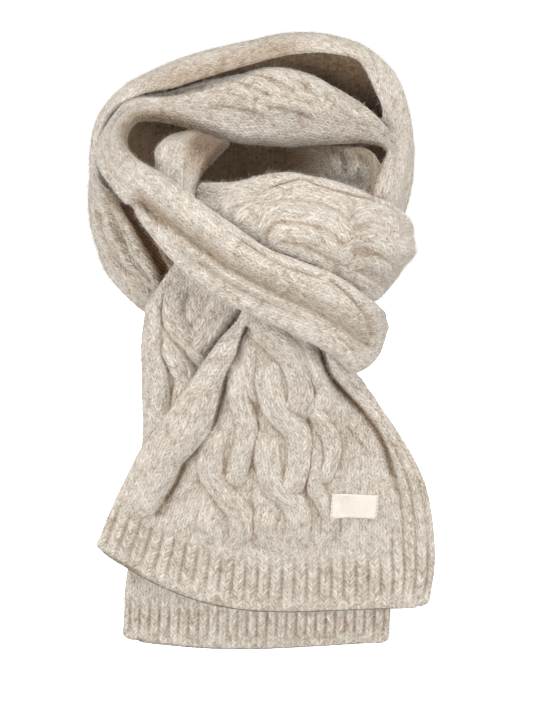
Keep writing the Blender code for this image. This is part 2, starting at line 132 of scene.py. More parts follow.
INNER_LOOP = (
    Row((83, -35, -36), (100, -29, -49), 1),
    Row((86, -32, -24), (107.5, -24, -36.5), 3, 6, 70),
    Row((92, -22, -12), (113, -14, -17), 3, 7, 90, 6, 70),
    Row((99, -6, 0), (114, 6, 1), 3, 7, 90, 6, 70),
    Row((97, 15, 5), (106, 27, 9), 3, 7, 100),
    Row((80, 34, 4), (88, 50, 25), 3, 8, 110, 6, 50),
    Row((54, 44, 1), (66, 68, 38), 4, 8, 120, 6, 40),
    Row((28, 48, -3), (40, 75, 50), 5, 8, 120, 6, 40),
    Row((7, 49, -2), (14, 77, 54), 5, 8, 120, 6, 40),
    Row((-13, 48, 1), (-11, 78, 48), 5, 8, 120, 6, 40),
    Row((-40, 46, 12), (-40, 77, 42), 4, 8, 120, 6, 40),
    Row((-65, 40, 22), (-70, 70, 33), 3, 8, 110, 6, 50),
    Row((-85, 25, 26), (-94, 54, 29), 3, 8, 110, 6, 50),
    Row((-95, 5, 22), (-108, 27, 14), 3, 8, 110),
    Row((-97, -20, 15), (-115, -4, 1), 3, 8, 110, 6, 70),
    Row((-90, -48, 8), (-112, -36, -8), 3, 8, 110, 7, 80),
    Row((-78, -70, 3), (-102, -59, -16), 4, 8, 100, 7, 90),
    Row((-61, -90, -5), (-85, -78, -32), 4, 8, 90, 7, 90),
    Row((-36, -105, -21), (-62, -96, -58), 5, 8, 90, 7, 90),
    Row((-12, -112, -36), (-32, -108, -84), 5, 8, 90, 7, 90),
    Row((9, -115, -50), (-1, -113, -99), 5, 8, 90, 7, 90),
    Row((34, -114, -60), (32, -112, -115), 5, 8, 90, 7, 90),
    Row((58, -109, -70), (57, -109, -129), 5, 8, 90, 7, 90),
    Row((77, -101, -82), (75, -103, -144), 4, 8, 90, 7, 90),
    Row((90, -86, -94), (90, -84, -140), 3, 8, 90, 7, 90),
    Row((97, -66, -104), (97, -64, -132), 2, 7, 60, 7),
)
FRONT_WRAP = (
    Row((-39, -62, -13), (-36, -68, -41), 2, 6, 80, 6, 40),
    Row((-28, -77, -10), (-28, -88, -48), 6, 8, 90, 6, 40),
    Row((-8, -81, -7), (-12, -98, -58), 9, 9, 90, 6, 40),
    Row((7, -82, -3), (6, -102, -67), 10, 10, 90, 6, 40),
    Row((24, -81, -1), (23, -103, -74), 12, 10, 90, 6, 40),
    Row((48, -77, -5), (50, -99, -85), 14, 10, 90, 6, 40),
    Row((70, -69, -12), (70, -91, -93), 15, 10, 90, 6, 40),
    Row((90, -55, -22), (84, -76, -100), 14, 10, 90, 6, 50),
    Row((106, -37, -33), (94, -60, -99), 11, 9, 90),
    Row((116, -18, -45), (103, -42, -93), 8, 8, 80),
    Row((121, 4, -57), (109, -16, -90), 5, 7, 70),
    Row((119, 24, -68), (111, 8, -90), 2, 7),
)
THROAT_WRAP = (
    Row((26, 64, -6), (27, 62, -44), 1, 6, 50, 6, 50),
    Row((58, 56, -4), (60, 54, -46), 2, 6, 50, 6, 50),
    Row((83, 33, -3), (84, 31, -50), 2, 6, 50, 6, 50),
    Row((90, 4, -11), (90, 2, -56), 2, 6, 50, 6, 50),
    Row((75, -23, -25), (77, -27, -64), 2, 6, 50, 6, 50),
    Row((50, -46, -26), (50, -51, -66), 2, 6, 50, 6, 50),
    Row((18, -56, -24), (18, -62, -64), 2, 6, 50, 6, 50),
)
FRONT_TAIL = (
    Row((-117, -90, -279), (131, -90, -324), 4, sag=23),
    Row((-106, -91, -252), (135, -91, -286), 5, 6, 70, 6, 70, sag=19),
    Row((-94, -92, -229), (127, -92, -231), 5, 7, 80, 7, 80, sag=9),
    Row((-82, -93, -206), (115, -93, -206), 5, 8, 90, 8, 90, sag=4),
    Row((-60, -95, -176), (97, -94, -178), 5, 8, 90, 8, 90, sag=2),
    Row((-39, -97, -145), (78, -95, -150), 4, 8, 90, 8, 90),
    Row((-23, -98, -122), (66, -95, -135), 3, 7, 90, 7, 90),
    Row((-10, -99, -105), (58, -97, -117), 2, 6, 80, 6, 80),
    Row((-5, -101, -90), (51, -98, -103), 1),
    Row((-1, -102, -63), (50, -98, -85), 0.5, 6, 50, 6, 50),
)
BACK_TAIL = (
    Row((-98, -80, -352), (103, -80, -355), 3, sag=5),
    Row((-96, -80, -320), (104, -80, -322), 3, sag=3),
    Row((-91, -80, -281), (100, -80, -281), 3),
    Row((-83, -80, -228), (87, -80, -228), 3, 6, 70),
    Row((-80, -81, -190), (67, -80, -190), 3, 7, 80),
    Row((-80, -82, -152), (49, -80, -152), 3, 8, 90),
    Row((-79, -82, -119), (34, -80, -119), 3, 8, 90),
    Row((-75, -80, -98), (27, -80, -98), 3, 8, 90),
    Row((-65, -79, -82), (20, -80, -82), 2, 7, 80),
    Row((-56, -80, -66), (2, -81, -68), 2),
    Row((-60, -83, -42), (-24, -84, -50), 3),
    Row((-62, -81, -20), (-37, -83, -34), 5, 7, 65, 7, 70),
    Row((-65, -73, -6), (-38, -72, -20), 7, 8, 70, 8, 80),
    Row((-68, -56, 1), (-36, -52, -11), 8, 8, 80, 8, 90),
    Row((-69, -28, 4), (-31, -25, -8), 8, 8, 80, 8, 90),
    Row((-67, 2, 3), (-24, 8, -7), 7, 8, 80, 8, 80),
    Row((-61, 40, -1), (-16, 42, -4), 5, 8, 80, 8, 80),
    Row((-58, 58, -12), (-28, 58, -16), 3, 8, 70, 8, 70),
)
THROAT_FOLD = BACK_TAIL[:13] + (
    Row((-68, -60, 2), (-36, -56, -10), 8, 8, 80, 8, 90),
    Row((-69, -52, 10), (-31, -49, -2), 8, 8, 80, 8, 90),
    Row((-67, -40, 14), (-24, -34, 4), 7, 8, 80, 8, 80),
    Row((-61, -12, 13), (-16, -10, 10), 5, 8, 80, 8, 80),
    Row((-58, 40, -8), (-28, 40, -12), 3, 8, 70, 8, 70),
)


# ---- curve and grid arithmetic

LINE_STEPS = 28
STRAND_STEPS = 60
BEYOND = 1e9
TINY = 1e-6
ROLL_POWER = 0.72


def held_in(values: Array | float) -> Array:
    """Values held between nothing and one."""
    return np.clip(values, 0.0, 1.0)


def eased(share: Array) -> Array:
    """A share that leaves nothing gently and reaches one gently."""
    return share**2 * (3 - 2 * share)


def unit(vectors: Array) -> Array:
    """Vectors at length one."""
    return vectors / np.maximum(np.linalg.norm(vectors, axis=-1, keepdims=True), 1e-9)


def dome(distance: Array, half_width: Array | float) -> Array:
    """One at the middle, falling smoothly to zero at the half width."""
    return np.cos(math.pi / 2 * held_in(np.abs(distance) / half_width)) ** 2


def lobe(distance: Array, half_width: Array | float) -> Array:
    """The round back of a strand, with steep sides."""
    return (1.0 - held_in(np.abs(distance) / half_width) ** 2) ** ROLL_POWER


def wave(turns: Array) -> Array:
    """Nothing at every whole turn and one half way between."""
    return 0.5 - 0.5 * np.cos(TURN * turns)


def spline(knots: Array, values: Array, at: Array) -> Array:
    """Interpolate smoothly through values.

    Args:
        knots: Places of the values, rising.
        values: One row of numbers for each knot.
        at: Places wanted.

    Returns:
        One row of numbers for each place.
    """
    slopes = np.gradient(values, knots, axis=0)
    i = np.clip(np.searchsorted(knots, at, side="right") - 1, 0, len(knots) - 2)
    span = (knots[i + 1] - knots[i])[:, None]
    f = (at - knots[i])[:, None] / span
    hermite = (2 * f**3 - 3 * f**2 + 1) * values[i]
    hermite += (f**3 - 2 * f**2 + f) * span * slopes[i]
    hermite += (3 * f**2 - 2 * f**3) * values[i + 1]
    hermite += (f**3 - f**2) * span * slopes[i + 1]
    return hermite


def drawn_through(points: Points, count: int) -> Array:
    """So many places along the smooth line through points."""
    knots = np.arange(len(points), dtype=float)
    return spline(knots, np.array(points, float), np.linspace(0, knots[-1], count))


def measure(path: Points, x: Array, z: Array) -> tuple[Array, Array, float]:
    """Measure points against a smooth line on the front of the cloth.

    Args:
        path: (X, Z) points of the line.
        x: X of the points.
        z: Z of the points.

    Returns:
        Distance along it, distance to its right as a line that runs down is seen, and its length.
    """
    fine = drawn_through(path, LINE_STEPS)
    best = np.full(x.shape, np.inf)
    place = np.zeros(x.shape)
    side = np.zeros(x.shape)
    travelled = 0.0
    for index, (start, stop) in enumerate(zip(fine, fine[1:])):
        step = float(np.hypot(*(stop - start)))
        tx, tz = (stop - start) / step
        low = -BEYOND if index == 0 else 0.0
        high = BEYOND if index == len(fine) - 2 else step
        run = np.clip((x - start[0]) * tx + (z - start[1]) * tz, low, high)
        off_x, off_z = x - start[0] - run * tx, z - start[1] - run * tz
        distance = np.hypot(off_x, off_z)
        nearer = distance < best
        best = np.where(nearer, distance, best)
        place = np.where(nearer, travelled + run, place)
        side = np.where(nearer, np.sign(off_z * tx - off_x * tz), side)
        travelled += step
    return place, side * best, travelled


def evened(values: Array, reach: Sequence[int]) -> Array:
    """Even out a grid of numbers.

    Args:
        values: The grid.
        reach: How many points it is evened over, to either side, along and across.

    Returns:
        The evened grid.
    """
    for axis, r in enumerate(reach):
        for _ in range(2):
            pads = [(r + 1, r) if a == axis else (0, 0) for a in (0, 1)]
            total = np.cumsum(np.pad(values, pads, mode="edge"), axis=axis)
            upper = np.take(total, range(2 * r + 1, total.shape[axis]), axis)
            lower = np.take(total, range(total.shape[axis] - 2 * r - 1), axis)
            values = (upper - lower) / (2 * r + 1)
    return values


def grid_normals(grid: Array) -> Array:
    """Outward unit vectors of a grid of points, rows along the strip and columns across it."""
    return unit(np.cross(np.gradient(grid, axis=1), np.gradient(grid, axis=0)))


def face_corners(values: Array) -> Array:
    """Values at the four corners of every face of a grid, in order round the face."""
    return np.stack([values[:-1, :-1], values[:-1, 1:], values[1:, 1:], values[1:, :-1]], 2)


def point_means(corners: Array) -> Array:
    """Gather the values of face corners at the points of the grid.

    Args:
        corners: Values at the four corners of every face.

    Returns:
        Mean, at each point, of the corners that meet there.
    """
    rows, columns = corners.shape[0] + 1, corners.shape[1] + 1
    total, count = np.zeros((rows, columns)), np.zeros((rows, columns))
    for k, (di, dj) in enumerate(((0, 0), (0, 1), (1, 1), (1, 0))):
        total[di : rows - 1 + di, dj : columns - 1 + dj] += corners[..., k]
        count[di : rows - 1 + di, dj : columns - 1 + dj] += 1
    return total / count


# ---- what is raised in the knit


@dataclass(frozen=True)
class Gauge:
    """The size and relief of one stitch.

    Attributes:
        wale: Width of a stitch.
        course: Height of a stitch.
        slant: Courses that a leg climbs in half a stitch.
        relief: How far a leg stands out.
        foot: Height of a leg where it dips under the next, as a share.
    """

    wale: float = 4.3
    course: float = 3.7
    slant: float = 1.15
    relief: float = 0.55
    foot: float = 0.35

    def face_side(self, wale: Array, course: Array) -> Array:
        """Height, 0 to 1, of a V of two legs at a place counted in wales and courses."""
        x = np.abs(wale - np.floor(wale) - 0.5) * 2
        between = np.sqrt(held_in(np.sin(math.pi * x)))
        return between * (self.foot + (1.0 - self.foot) * wave(course - self.slant * x))


@dataclass(frozen=True)
class Fold:
    """A soft fold of the whole wall along a path.

    Attributes:
        path: (X, Z) points of its line.
        width: Half its width.
        height: How far it stands out at its start; a crease is negative.
        end_height: The same at its end.
        right: Half its width on the right of the path, where that differs.
        shade_paint: How much shade is painted along it.
        clearing: Share of that painted shade that is gone at its end.
    """

    path: Points
    width: float
    height: float
    end_height: float
    right: float = 0
    shade_paint: float = 0
    clearing: float = 0.6

    def press(self, x: Array, z: Array) -> tuple[Array, Array]:
        """Work out the fold at points.

        Args:
            x: X of the points.
            z: Z of the points.

        Returns:
            How far the wall is pushed out, and how much shade is painted there.
        """
        place, side, length = measure(self.path, x, z)
        share = held_in(place / length)
        height = self.height + (self.end_height - self.height) * share
        past = held_in(1.0 - np.maximum(-place, place - length) / self.width)
        bend = dome(side, np.where(side > 0.0, self.right or self.width, self.width)) * past
        # Painted shade along the fold, clearing towards its end.
        return height * bend, self.shade_paint * (1.0 - self.clearing * share) * bend


class Strand(NamedTuple):
    """One strand of a cable, as (X, Z) points, over the length where it lies on top."""

    points: Points
    half_width: float
    height: float


@dataclass(frozen=True)
class Cable:
    """A cable: a raised bed, and the strands that cross on it.

    Attributes:
        path: (X, Z) points of its middle line.
        half_width: Half its width at the start of the path.
        end_half_width: Half its width at the end of the path.
        bed: How far its ground stands out.
        strands: Its strands.
    """

    path: Points
    half_width: float
    end_half_width: float
    bed: float
    strands: tuple[Strand, ...]

    def layers(self, x: Array, z: Array, gauge: Gauge) -> list[tuple[Array, Array, Array]]:
        """Lay out the bed and the strands at points.

        Args:
            x: X of the points.
            z: Z of the points.
            gauge: Size of a stitch.

        Returns:
            For each layer its height, and its wale and course counts.
        """
        place, side, length = measure(self.path, x, z)
        half = self.half_width + (self.end_half_width - self.half_width) * held_in(place / length)
        ease = held_in(np.minimum(place, length - place) / self.half_width + 1.0)
        height = self.bed * ease * (1.0 - held_in(np.abs(side) / half) ** 4)
        found = [(height, side / gauge.wale, place / gauge.course)]
        for strand in self.strands:
            fine = drawn_through(strand.points, STRAND_STEPS)
            runs, offsets, _ = measure(self.path, fine[:, 0], fine[:, 1])
            rising = np.maximum.accumulate(runs) + 1e-3 * np.arange(STRAND_STEPS)
            centre = np.interp(place, runs, offsets)
            slope = np.interp(place, runs, np.gradient(offsets, rising))
            off = (side - centre) / np.sqrt(1.0 + slope**2)
            inside = np.minimum(place - runs[0], runs[-1] - place) / strand.half_width
            ease = np.sin(math.pi / 3 * np.clip(inside + 0.5, 0.0, 1.5)) / math.sin(math.pi / 3)
            height = strand.height * ease * lobe(off, strand.half_width)
            along = place + slope * (side - centre) / (1.0 + slope**2)
            found.append((height, off / gauge.wale, along / gauge.course))
        return found


class ShadePatch(NamedTuple):
    """Shade painted into the wool deep in a loop, where little light reaches.

    It starts from nothing at the first share and is full at the second, along and across.
    """

    along: tuple[float, float]
    across: tuple[float, float]
    full: float

    def depth(self, us: Array, vs: Array) -> Array:
        """How much shade is painted at each point of a grid, where one is the most that is painted.
        """
        rows = held_in((us - self.along[0]) / (self.along[1] - self.along[0]))
        columns = held_in((vs - self.across[0]) / (self.across[1] - self.across[0]))
        return self.full * np.outer(eased(rows), eased(columns))


class Ridge(NamedTuple):
    """A ridge (a groove, if its height is negative) along a stretch, at a share across it."""

    at: float
    width: float
    height: float


# ---- folds, cables, wales and painted shade

LEFT_CREASE = ((-4, -112), (-10, -128), (-17, -146), (-24, -173), (-33, -195), (-47, -210),
               (-55, -228))
RIGHT_CREASE = ((47, -120), (52, -139), (59, -152), (82, -177))
FRONT_FOLDS = (
    Fold(((-12, -116), (-34, -160), (-66, -212), (-96, -269)), 22, 5, 5),
    Fold(LEFT_CREASE + ((-68, -250),), 4.5, -6, -3, right=10),
    Fold(RIGHT_CREASE + ((97, -202), (104, -232)), 10, -6.5, -1.5, right=4.5),
    Fold(LEFT_CREASE + ((-62, -240),), 3.6, -3.2, -1.8, shade_paint=1.6),
    Fold(RIGHT_CREASE + ((95, -199), (101, -220)), 4, -3.6, -1.2, shade_paint=1.8),
    Fold(((61, -136), (81, -164), (117, -231), (125, -273)), 14, 4.5, 3),
    Fold(((70, -187), (75, -194), (83, -203)), 3, -1.5, -1),
    Fold(((42, -150), (45, -158), (43, -175), (40, -190), (42, -210), (38, -228)), 4.5, -1.2, -0.8),
)
FRONT_CABLES = (
    Cable(((6, -116), (17, -142), (22, -165), (21, -200), (21, -240), (20, -276)), 13, 23, 1.8, (
        Strand(((7, -112), (17, -121), (27, -132), (33, -146), (34, -161), (29, -172)), 10.5, 4.7),
        Strand(((11, -138), (12, -152), (16, -166), (23, -177), (31, -188), (34, -201), (33, -215),
                (25, -235)), 10.5, 5.1),
        Strand(((11, -190), (11, -206), (14, -219), (19, -230), (29, -241), (33, -253), (32, -265),
                (29, -277)), 10.5, 4.6),
        Strand(((10, -248), (8, -260), (10, -272), (14, -281)), 10, 3.7),
    )),
    Cable(((-3, -126), (-8, -150), (-13, -177), (-18, -210), (-19, -240), (-20, -276)),
           9, 22, 1.6, (
        Strand(((-1, -118), (-3, -132), (-4, -148), (-2, -162)), 6.5, 3.1),
        Strand(((-8, -135), (-9, -149), (-9, -163), (-6, -175), (-4, -187), (-7, -202),
                (-14, -227)), 8.5, 4.4),
        Strand(((-24, -186), (-29, -202), (-29, -217), (-23, -229), (-15, -241), (-9, -251),
                (-8, -264), (-14, -275)), 10, 4.4),
        Strand(((-28, -245), (-31, -258), (-28, -273)), 9.5, 3.6),
    )),
    Cable(((40, -132), (49, -152), (52, -187), (51, -210), (50, -240), (49, -276)), 9, 15, 1.4, (
        Strand(((39, -128), (43, -139), (49, -153), (52, -164), (49, -173)), 6.5, 3.6),
        Strand(((47, -158), (45, -170), (50, -181), (56, -192), (57, -205), (53, -217), (49, -226)),
                7, 4.1),
        Strand(((46, -201), (45, -216), (46, -230), (52, -241), (56, -253), (56, -265), (52, -275)),
                7, 3.8),
    )),
    Cable(((-17, -120), (-33, -150), (-50, -180), (-66, -208), (-80, -232), (-92, -254)),
           10, 16, 0, (
        Strand(((-17, -120), (-27, -136), (-35, -150), (-45, -164), (-53, -180), (-66, -208)),
                11, 2.8),
        Strand(((-33, -158), (-35, -170), (-40, -183), (-46, -194), (-55, -206)), 9, 3.3),
        Strand(((-72, -195), (-76, -208), (-75, -221), (-81, -234), (-90, -248)), 10, 2.6),
        Strand(((-62, -212), (-70, -225), (-77, -240), (-83, -254)), 9.5, 3.1),
    )),
)
FRONT_WALES = (
    ((-3, -100), (-14, -113), (-30, -131), (-46, -150), (-62, -168), (-89, -220), (-109, -273)),
    ((-4, -128), (-12, -154), (-21, -172), (-34, -194), (-43, -217), (-54, -239), (-63, -273)),
    ((2, -113), (-3, -128), (-8, -159), (-11, -177), (-16, -210), (-17, -256), (-20, -285)),
    ((12, -110), (21, -124), (23, -159), (22, -210), (22, -225), (19, -256), (18, -285)),
    ((34, -128), (47, -146), (52, -159), (52, -187), (51, -210), (49, -256), (49, -285)),
    ((57, -139), (70, -161), (76, -187), (80, -224), (83, -285)),
    ((47, -128), (66, -154), (88, -179), (110, -213), (123, -247), (130, -285)),
)
BACK_FOLDS = (
    Fold(((-58, -83), (-62, -89), (-65, -100), (-65, -110)), 6, -2, -1.6),
    Fold(((-40, -88), (-47, -95), (-50, -105), (-47, -116), (-43, -125)), 7, -2.2, -2),
    Fold(((-32, -95), (-37, -104), (-43, -113)), 5.5, -2.2, -1.8),
    Fold(((-4, -102), (-11, -108), (-19, -117), (-32, -135)), 7, -4.5, -4),
    Fold(((-65, -114), (-65, -131), (-60, -145), (-57, -163), (-58, -176)), 5.5, -2.2, -1.8),
    Fold(((-60, -119), (-51, -128), (-44, -136), (-39, -148)), 7, -2, -2.2),
)
BACK_CABLES = (
    Cable(((-52, -80), (-54, -105), (-50, -130), (-45, -155)), 9, 9, 0, (
        Strand(((-55, -88), (-57, -98), (-57, -108), (-50, -120), (-41, -132), (-34, -139)),
                8.5, 2.7),
        Strand(((-22, -107), (-28, -116), (-35, -125), (-39, -132)), 8, 3.6),
    )),
    Cable(((-66, -88), (-66, -120), (-60, -150), (-62, -190), (-63, -240)), 13, 14, 1, (
        Strand(((-71, -116), (-72, -132), (-68, -150), (-66, -168), (-69, -183)), 8, 3),
        Strand(((-63, -128), (-55, -139), (-47, -153), (-51, -167), (-58, -179), (-68, -194)),
                8.5, 3.6),
        Strand(((-69, -92), (-71, -107), (-66, -122)), 7, 3),
        Strand(((-70, -172), (-66, -186), (-58, -198), (-54, -212), (-56, -228)), 8.5, 3.6),
        Strand(((-66, -200), (-72, -214), (-70, -230)), 8.5, 3.2),
    )),
)
WRAP_FOLDS = (
    Fold(((16, -12), (34, -6), (45, -10), (55, -14), (66, -18), (77, -22), (88, -26), (104, -39)),
          3.5, -3, -2.5),
)
WRAP_CABLES = (
    Cable(((-26, -30), (6, -30), (34, -32), (60, -42), (84, -52), (106, -64)), 26, 30, 1.2, (
        Strand(((3, -28), (10, -20), (22, -16), (38, -17), (51, -21), (64, -27), (71, -34)),
                6.5, 2.4),
        Strand(((6, -39), (11, -31), (20, -27), (34, -28), (46, -31), (58, -36), (71, -48)),
                6.8, 3.3),
        Strand(((12, -47), (20, -41), (29, -41), (40, -43), (50, -49), (60, -55), (70, -62)),
                6.8, 2.9),
        Strand(((15, -50), (25, -52), (35, -56), (46, -61), (56, -67)), 5.5, 2.2),
        Strand(((-25, -28), (-17, -22), (-6, -19), (5, -18)), 6, 2),
        Strand(((-14, -34), (-6, -28), (3, -24), (11, -26)), 6, 2.2),
        Strand(((66, -39), (75, -34), (86, -34), (97, -40), (106, -52)), 6.6, 3.1),
        Strand(((64, -52), (74, -48), (84, -50), (95, -57), (103, -67)), 6.6, 3.3),
        Strand(((66, -67), (75, -64), (85, -66), (95, -73), (102, -82)), 6.6, 3.1),
        Strand(((62, -67), (72, -75), (84, -86), (93, -95)), 5.6, 2.7),
    )),
)
NAPE_CABLES = (
    Cable(((-44, 33), (-10, 38), (14, 40), (44, 34), (84, 20)), 13, 13, 0.8, (
        Strand(((-38, 36), (-26, 38), (-12, 35), (0, 28)), 4.4, 2.2),
        Strand(((-24, 42), (-10, 43), (6, 39), (20, 31)), 4.6, 2.7),
        Strand(((-6, 48), (8, 48), (24, 43), (38, 33)), 4.6, 2.8),
        Strand(((14, 49), (28, 47), (42, 40), (54, 30)), 4.6, 2.8),
        Strand(((34, 44), (46, 41), (58, 33), (68, 24)), 4.4, 2.5),
        Strand(((52, 35), (61, 31), (70, 25), (78, 18)), 4, 2.1),
        Strand(((-34, 28), (-20, 28), (-4, 25), (10, 21)), 4, 2),
        Strand(((4, 28), (20, 27), (36, 23), (48, 18)), 4, 2),
    )),
)
CROSSING_FOLDS = (
    Fold(((-83, -26), (-64, -35), (-47, -45), (-33, -53), (-20, -62), (19, -83), (57, -103),
          (85, -124)), 6, -6, -5, right=16, shade_paint=0.7),
    Fold(((-8, -46), (0, -50), (7, -55), (16, -60), (24, -64), (35, -68), (46, -72)),
          3.8, -3, -2.2, shade_paint=0.6),
    Fold(((56, -75), (70, -89), (80, -101), (89, -118)), 3.8, -3.2, -2.6, shade_paint=0.8),
    Fold(((-36, -61), (-15, -75), (7, -86), (34, -98), (58, -110), (71, -125)), 4, -1, -1.2),
)
LEFT_WRAP_FOLDS = (
    Fold(((-90, -32), (-82, -46), (-75, -58), (-68, -71), (-63, -81)), 9, -4.5, -4.5, shade_paint=4),
    Fold(((-109, -31), (-103, -42), (-96, -55), (-89, -69), (-80, -78), (-75, -86)),
          4.5, -4.2, -4.2, shade_paint=0.5),
    Fold(((-102, -72), (-93, -80), (-82, -86), (-74, -94)), 4, -3.4, -4, shade_paint=0.5),
    Fold(((-113, -43), (-110, -57), (-104, -69)), 4, -3, -3, shade_paint=0.4),
)
THROAT_FOLDS = (
    Fold(((62, -5), (67, -12), (70, -23)), 5, -1.6, -1.6),
    Fold(((80, -4), (86, -8), (88, -18), (87, -25)), 5, -1.6, -1.6),
)
THROAT_CABLES = (
    Cable(((70, 2), (74, -8), (76, -20), (74, -34)), 22, 22, 0.6, (
        Strand(((50, -8), (58, -12), (63, -20), (62, -30)), 5, 2),
        Strand(((62, -3), (71, -8), (76, -17), (74, -28)), 5, 2.2),
        Strand(((76, -2), (85, -8), (88, -17), (84, -27)), 5, 2),
    )),
)
NAPE_OUTER_RIDGES = (Ridge(0.42, 0.06, 1.5), Ridge(0.58, 0.06, 1.5), Ridge(0.74, 0.06, 1.5))
LEFT_TURN_RIDGES = (Ridge(0.28, 0.22, 2), Ridge(0.82, 0.16, 2))
CROSSING_RIDGES = (Ridge(0.28, 0.22, 3), Ridge(0.82, 0.16, 3))
FOLD_RIDGES = (Ridge(0.27, 0.24, 3), Ridge(0.56, 0.1, -1.4))
ANYWHERE = (-1.0, -0.5)
# Patches of painted shade on each stretch, where its wool lies deep in shade.
NAPE_OUTER_SHADE_PAINT = (ShadePatch((0.26, 0.3), (0.16, 0), 0.6),)
NAPE_SHADE_PAINT = (
    ShadePatch((0.31, 0.4), (0.36, 0.08), 1),
    ShadePatch(ANYWHERE, (0.16, 0), 0.5),
    ShadePatch((0.2, 0.16), (0.24, 0.14), 0.7),
    ShadePatch((0.07, 0.03), (0.2, 0.08), 0.4),
)
LEFT_TURN_SHADE_PAINT = (ShadePatch((0.64, 0.5), (0.36, 0.08), 1),)
LEFT_WRAP_SHADE_PAINT = (ShadePatch((0.64, 0.7), (0.24, 0.06), 1.2), ShadePatch((0.52, 0.44), (0.16, 0), 0.6))
CROSSING_SHADE_PAINT = (ShadePatch((0.72, 0.66), (0.86, 0.97), 1),)
THROAT_SHADE_PAINT = (ShadePatch((0.22, 0.01), ANYWHERE, 1.1), ShadePatch(ANYWHERE, (0.42, 0.1), 0.55))
FOLD_SHADE_PAINT = (
    ShadePatch((0.76, 0.83), (0.35, 0.62), 1.15),
    ShadePatch((0.81, 0.92), ANYWHERE, 2),
    ShadePatch((0.75, 0.81), (0.68, 0.9), 1.5),
)


# ---- the loft


class Loft:
    """The smooth outer surface through one table of rows.

    Attributes:
        near: Step, as a share, over which directions are measured.
        walk_steps: Steps in which a wale is measured.
        sag_lean: How much further the first side sags than the last.
    """

    near: float = 1e-3
    walk_steps: int = 160
    sag_lean: float = 0.35

    def __init__(self, rows: Sequence[Row]) -> None:
        """Measure the table.

        Args:
            rows: Cross-sections in order along the strip.
        """
        self.values = np.array([[*r.first, *r.last, *r[2:]] for r in rows], float)
        middle = (self.values[:, 0:3] + self.values[:, 3:6]) / 2.0
        steps = np.linalg.norm(np.diff(middle, axis=0), axis=1)
        self.length = float(steps.sum())
        self.knots = np.concatenate([[0.0], np.cumsum(steps)]) / self.length

    def points(self, us: Array, vs: Array) -> tuple[Array, Array, Array]:
        """Work out points of the surface.

        Args:
            us: Shares of the length.
            vs: Shares of the way across.

        Returns:
            The points, each row's heading, and each row's width round its rolls.
        """
        rows = spline(self.knots, self.values, us)
        ahead = spline(self.knots, self.values, np.minimum(us + self.near, 1.0))
        behind = spline(self.knots, self.values, np.maximum(us - self.near, 0.0))
        along = unit((ahead - behind)[:, 0:3] + (ahead - behind)[:, 3:6])
        chord = rows[:, 3:6] - rows[:, 0:3]
        width = np.linalg.norm(chord, axis=1, keepdims=True)
        chord = chord / width
        out = unit(np.cross(chord, along))
        swell, r0, t0, r1, t1, sag = (rows[:, k : k + 1] for k in range(6, 12))
        t0, t1 = np.radians(t0), np.radians(t1)
        face = width - r0 - r1
        arc = r0 * t0 + face + r1 * t1
        run = vs[None, :] * arc
        share = held_in((run - r0 * t0) / face)
        across = r0 + share * face
        outward = swell * np.sin(math.pi * share) ** 2
        for sign, radius, past in ((-1.0, r0, r0 * t0 - run), (1.0, r1, run - r0 * t0 - face)):
            angle = np.clip(past, 0.0, None) / radius
            across = across + sign * radius * np.sin(angle)
            outward = outward - radius * (1.0 - np.cos(angle))
        travel = np.cross(out, chord)
        back = sag * np.sin(math.pi * share) * (1.0 + self.sag_lean * np.cos(math.pi * share))
        grid = rows[:, None, 0:3] + across[..., None] * chord[:, None, :]
        grid += outward[..., None] * out[:, None, :] - back[..., None] * travel[:, None, :]
        return grid, travel[:, None, :], arc[:, 0]

    def surface(self, us: Array, vs: Array) -> tuple[Array, Array, Array]:
        """Work out points and outward normals.

        Args:
            us: Shares of the length.
            vs: Shares of the way across.

        Returns:
            The points, the normals, and each row's width.
        """
        grid, travel, arc = self.points(us, vs)
        ahead = self.points(us, np.minimum(vs + self.near, 1.0))[0]
        behind = self.points(us, np.maximum(vs - self.near, 0.0))[0]
        return grid, unit(np.cross(ahead - behind, travel)), arc

    def wale_length(self, at: float, us: Array) -> Array:
        """Walk along the surface.

        Args:
            at: Share across of the walk.
            us: Shares of the length.

        Returns:
            Distance walked at each share.
        """
        fine = np.linspace(0.0, 1.0, self.walk_steps)
        line = self.points(fine, np.array([at]))[0][:, 0]
        steps = np.linalg.norm(np.diff(line, axis=0), axis=1)
        return np.interp(us, fine, np.concatenate([[0.0], np.cumsum(steps)]))


# ---- finishes

# Painted shade: least red that it keeps at its darkest, and the powers of it that green and blue
# keep, so that it warms as it darkens.
DARKEST_SHADE_PAINT = 0.1
SHADE_PAINT_WARMTH = (1.3, 1.65)


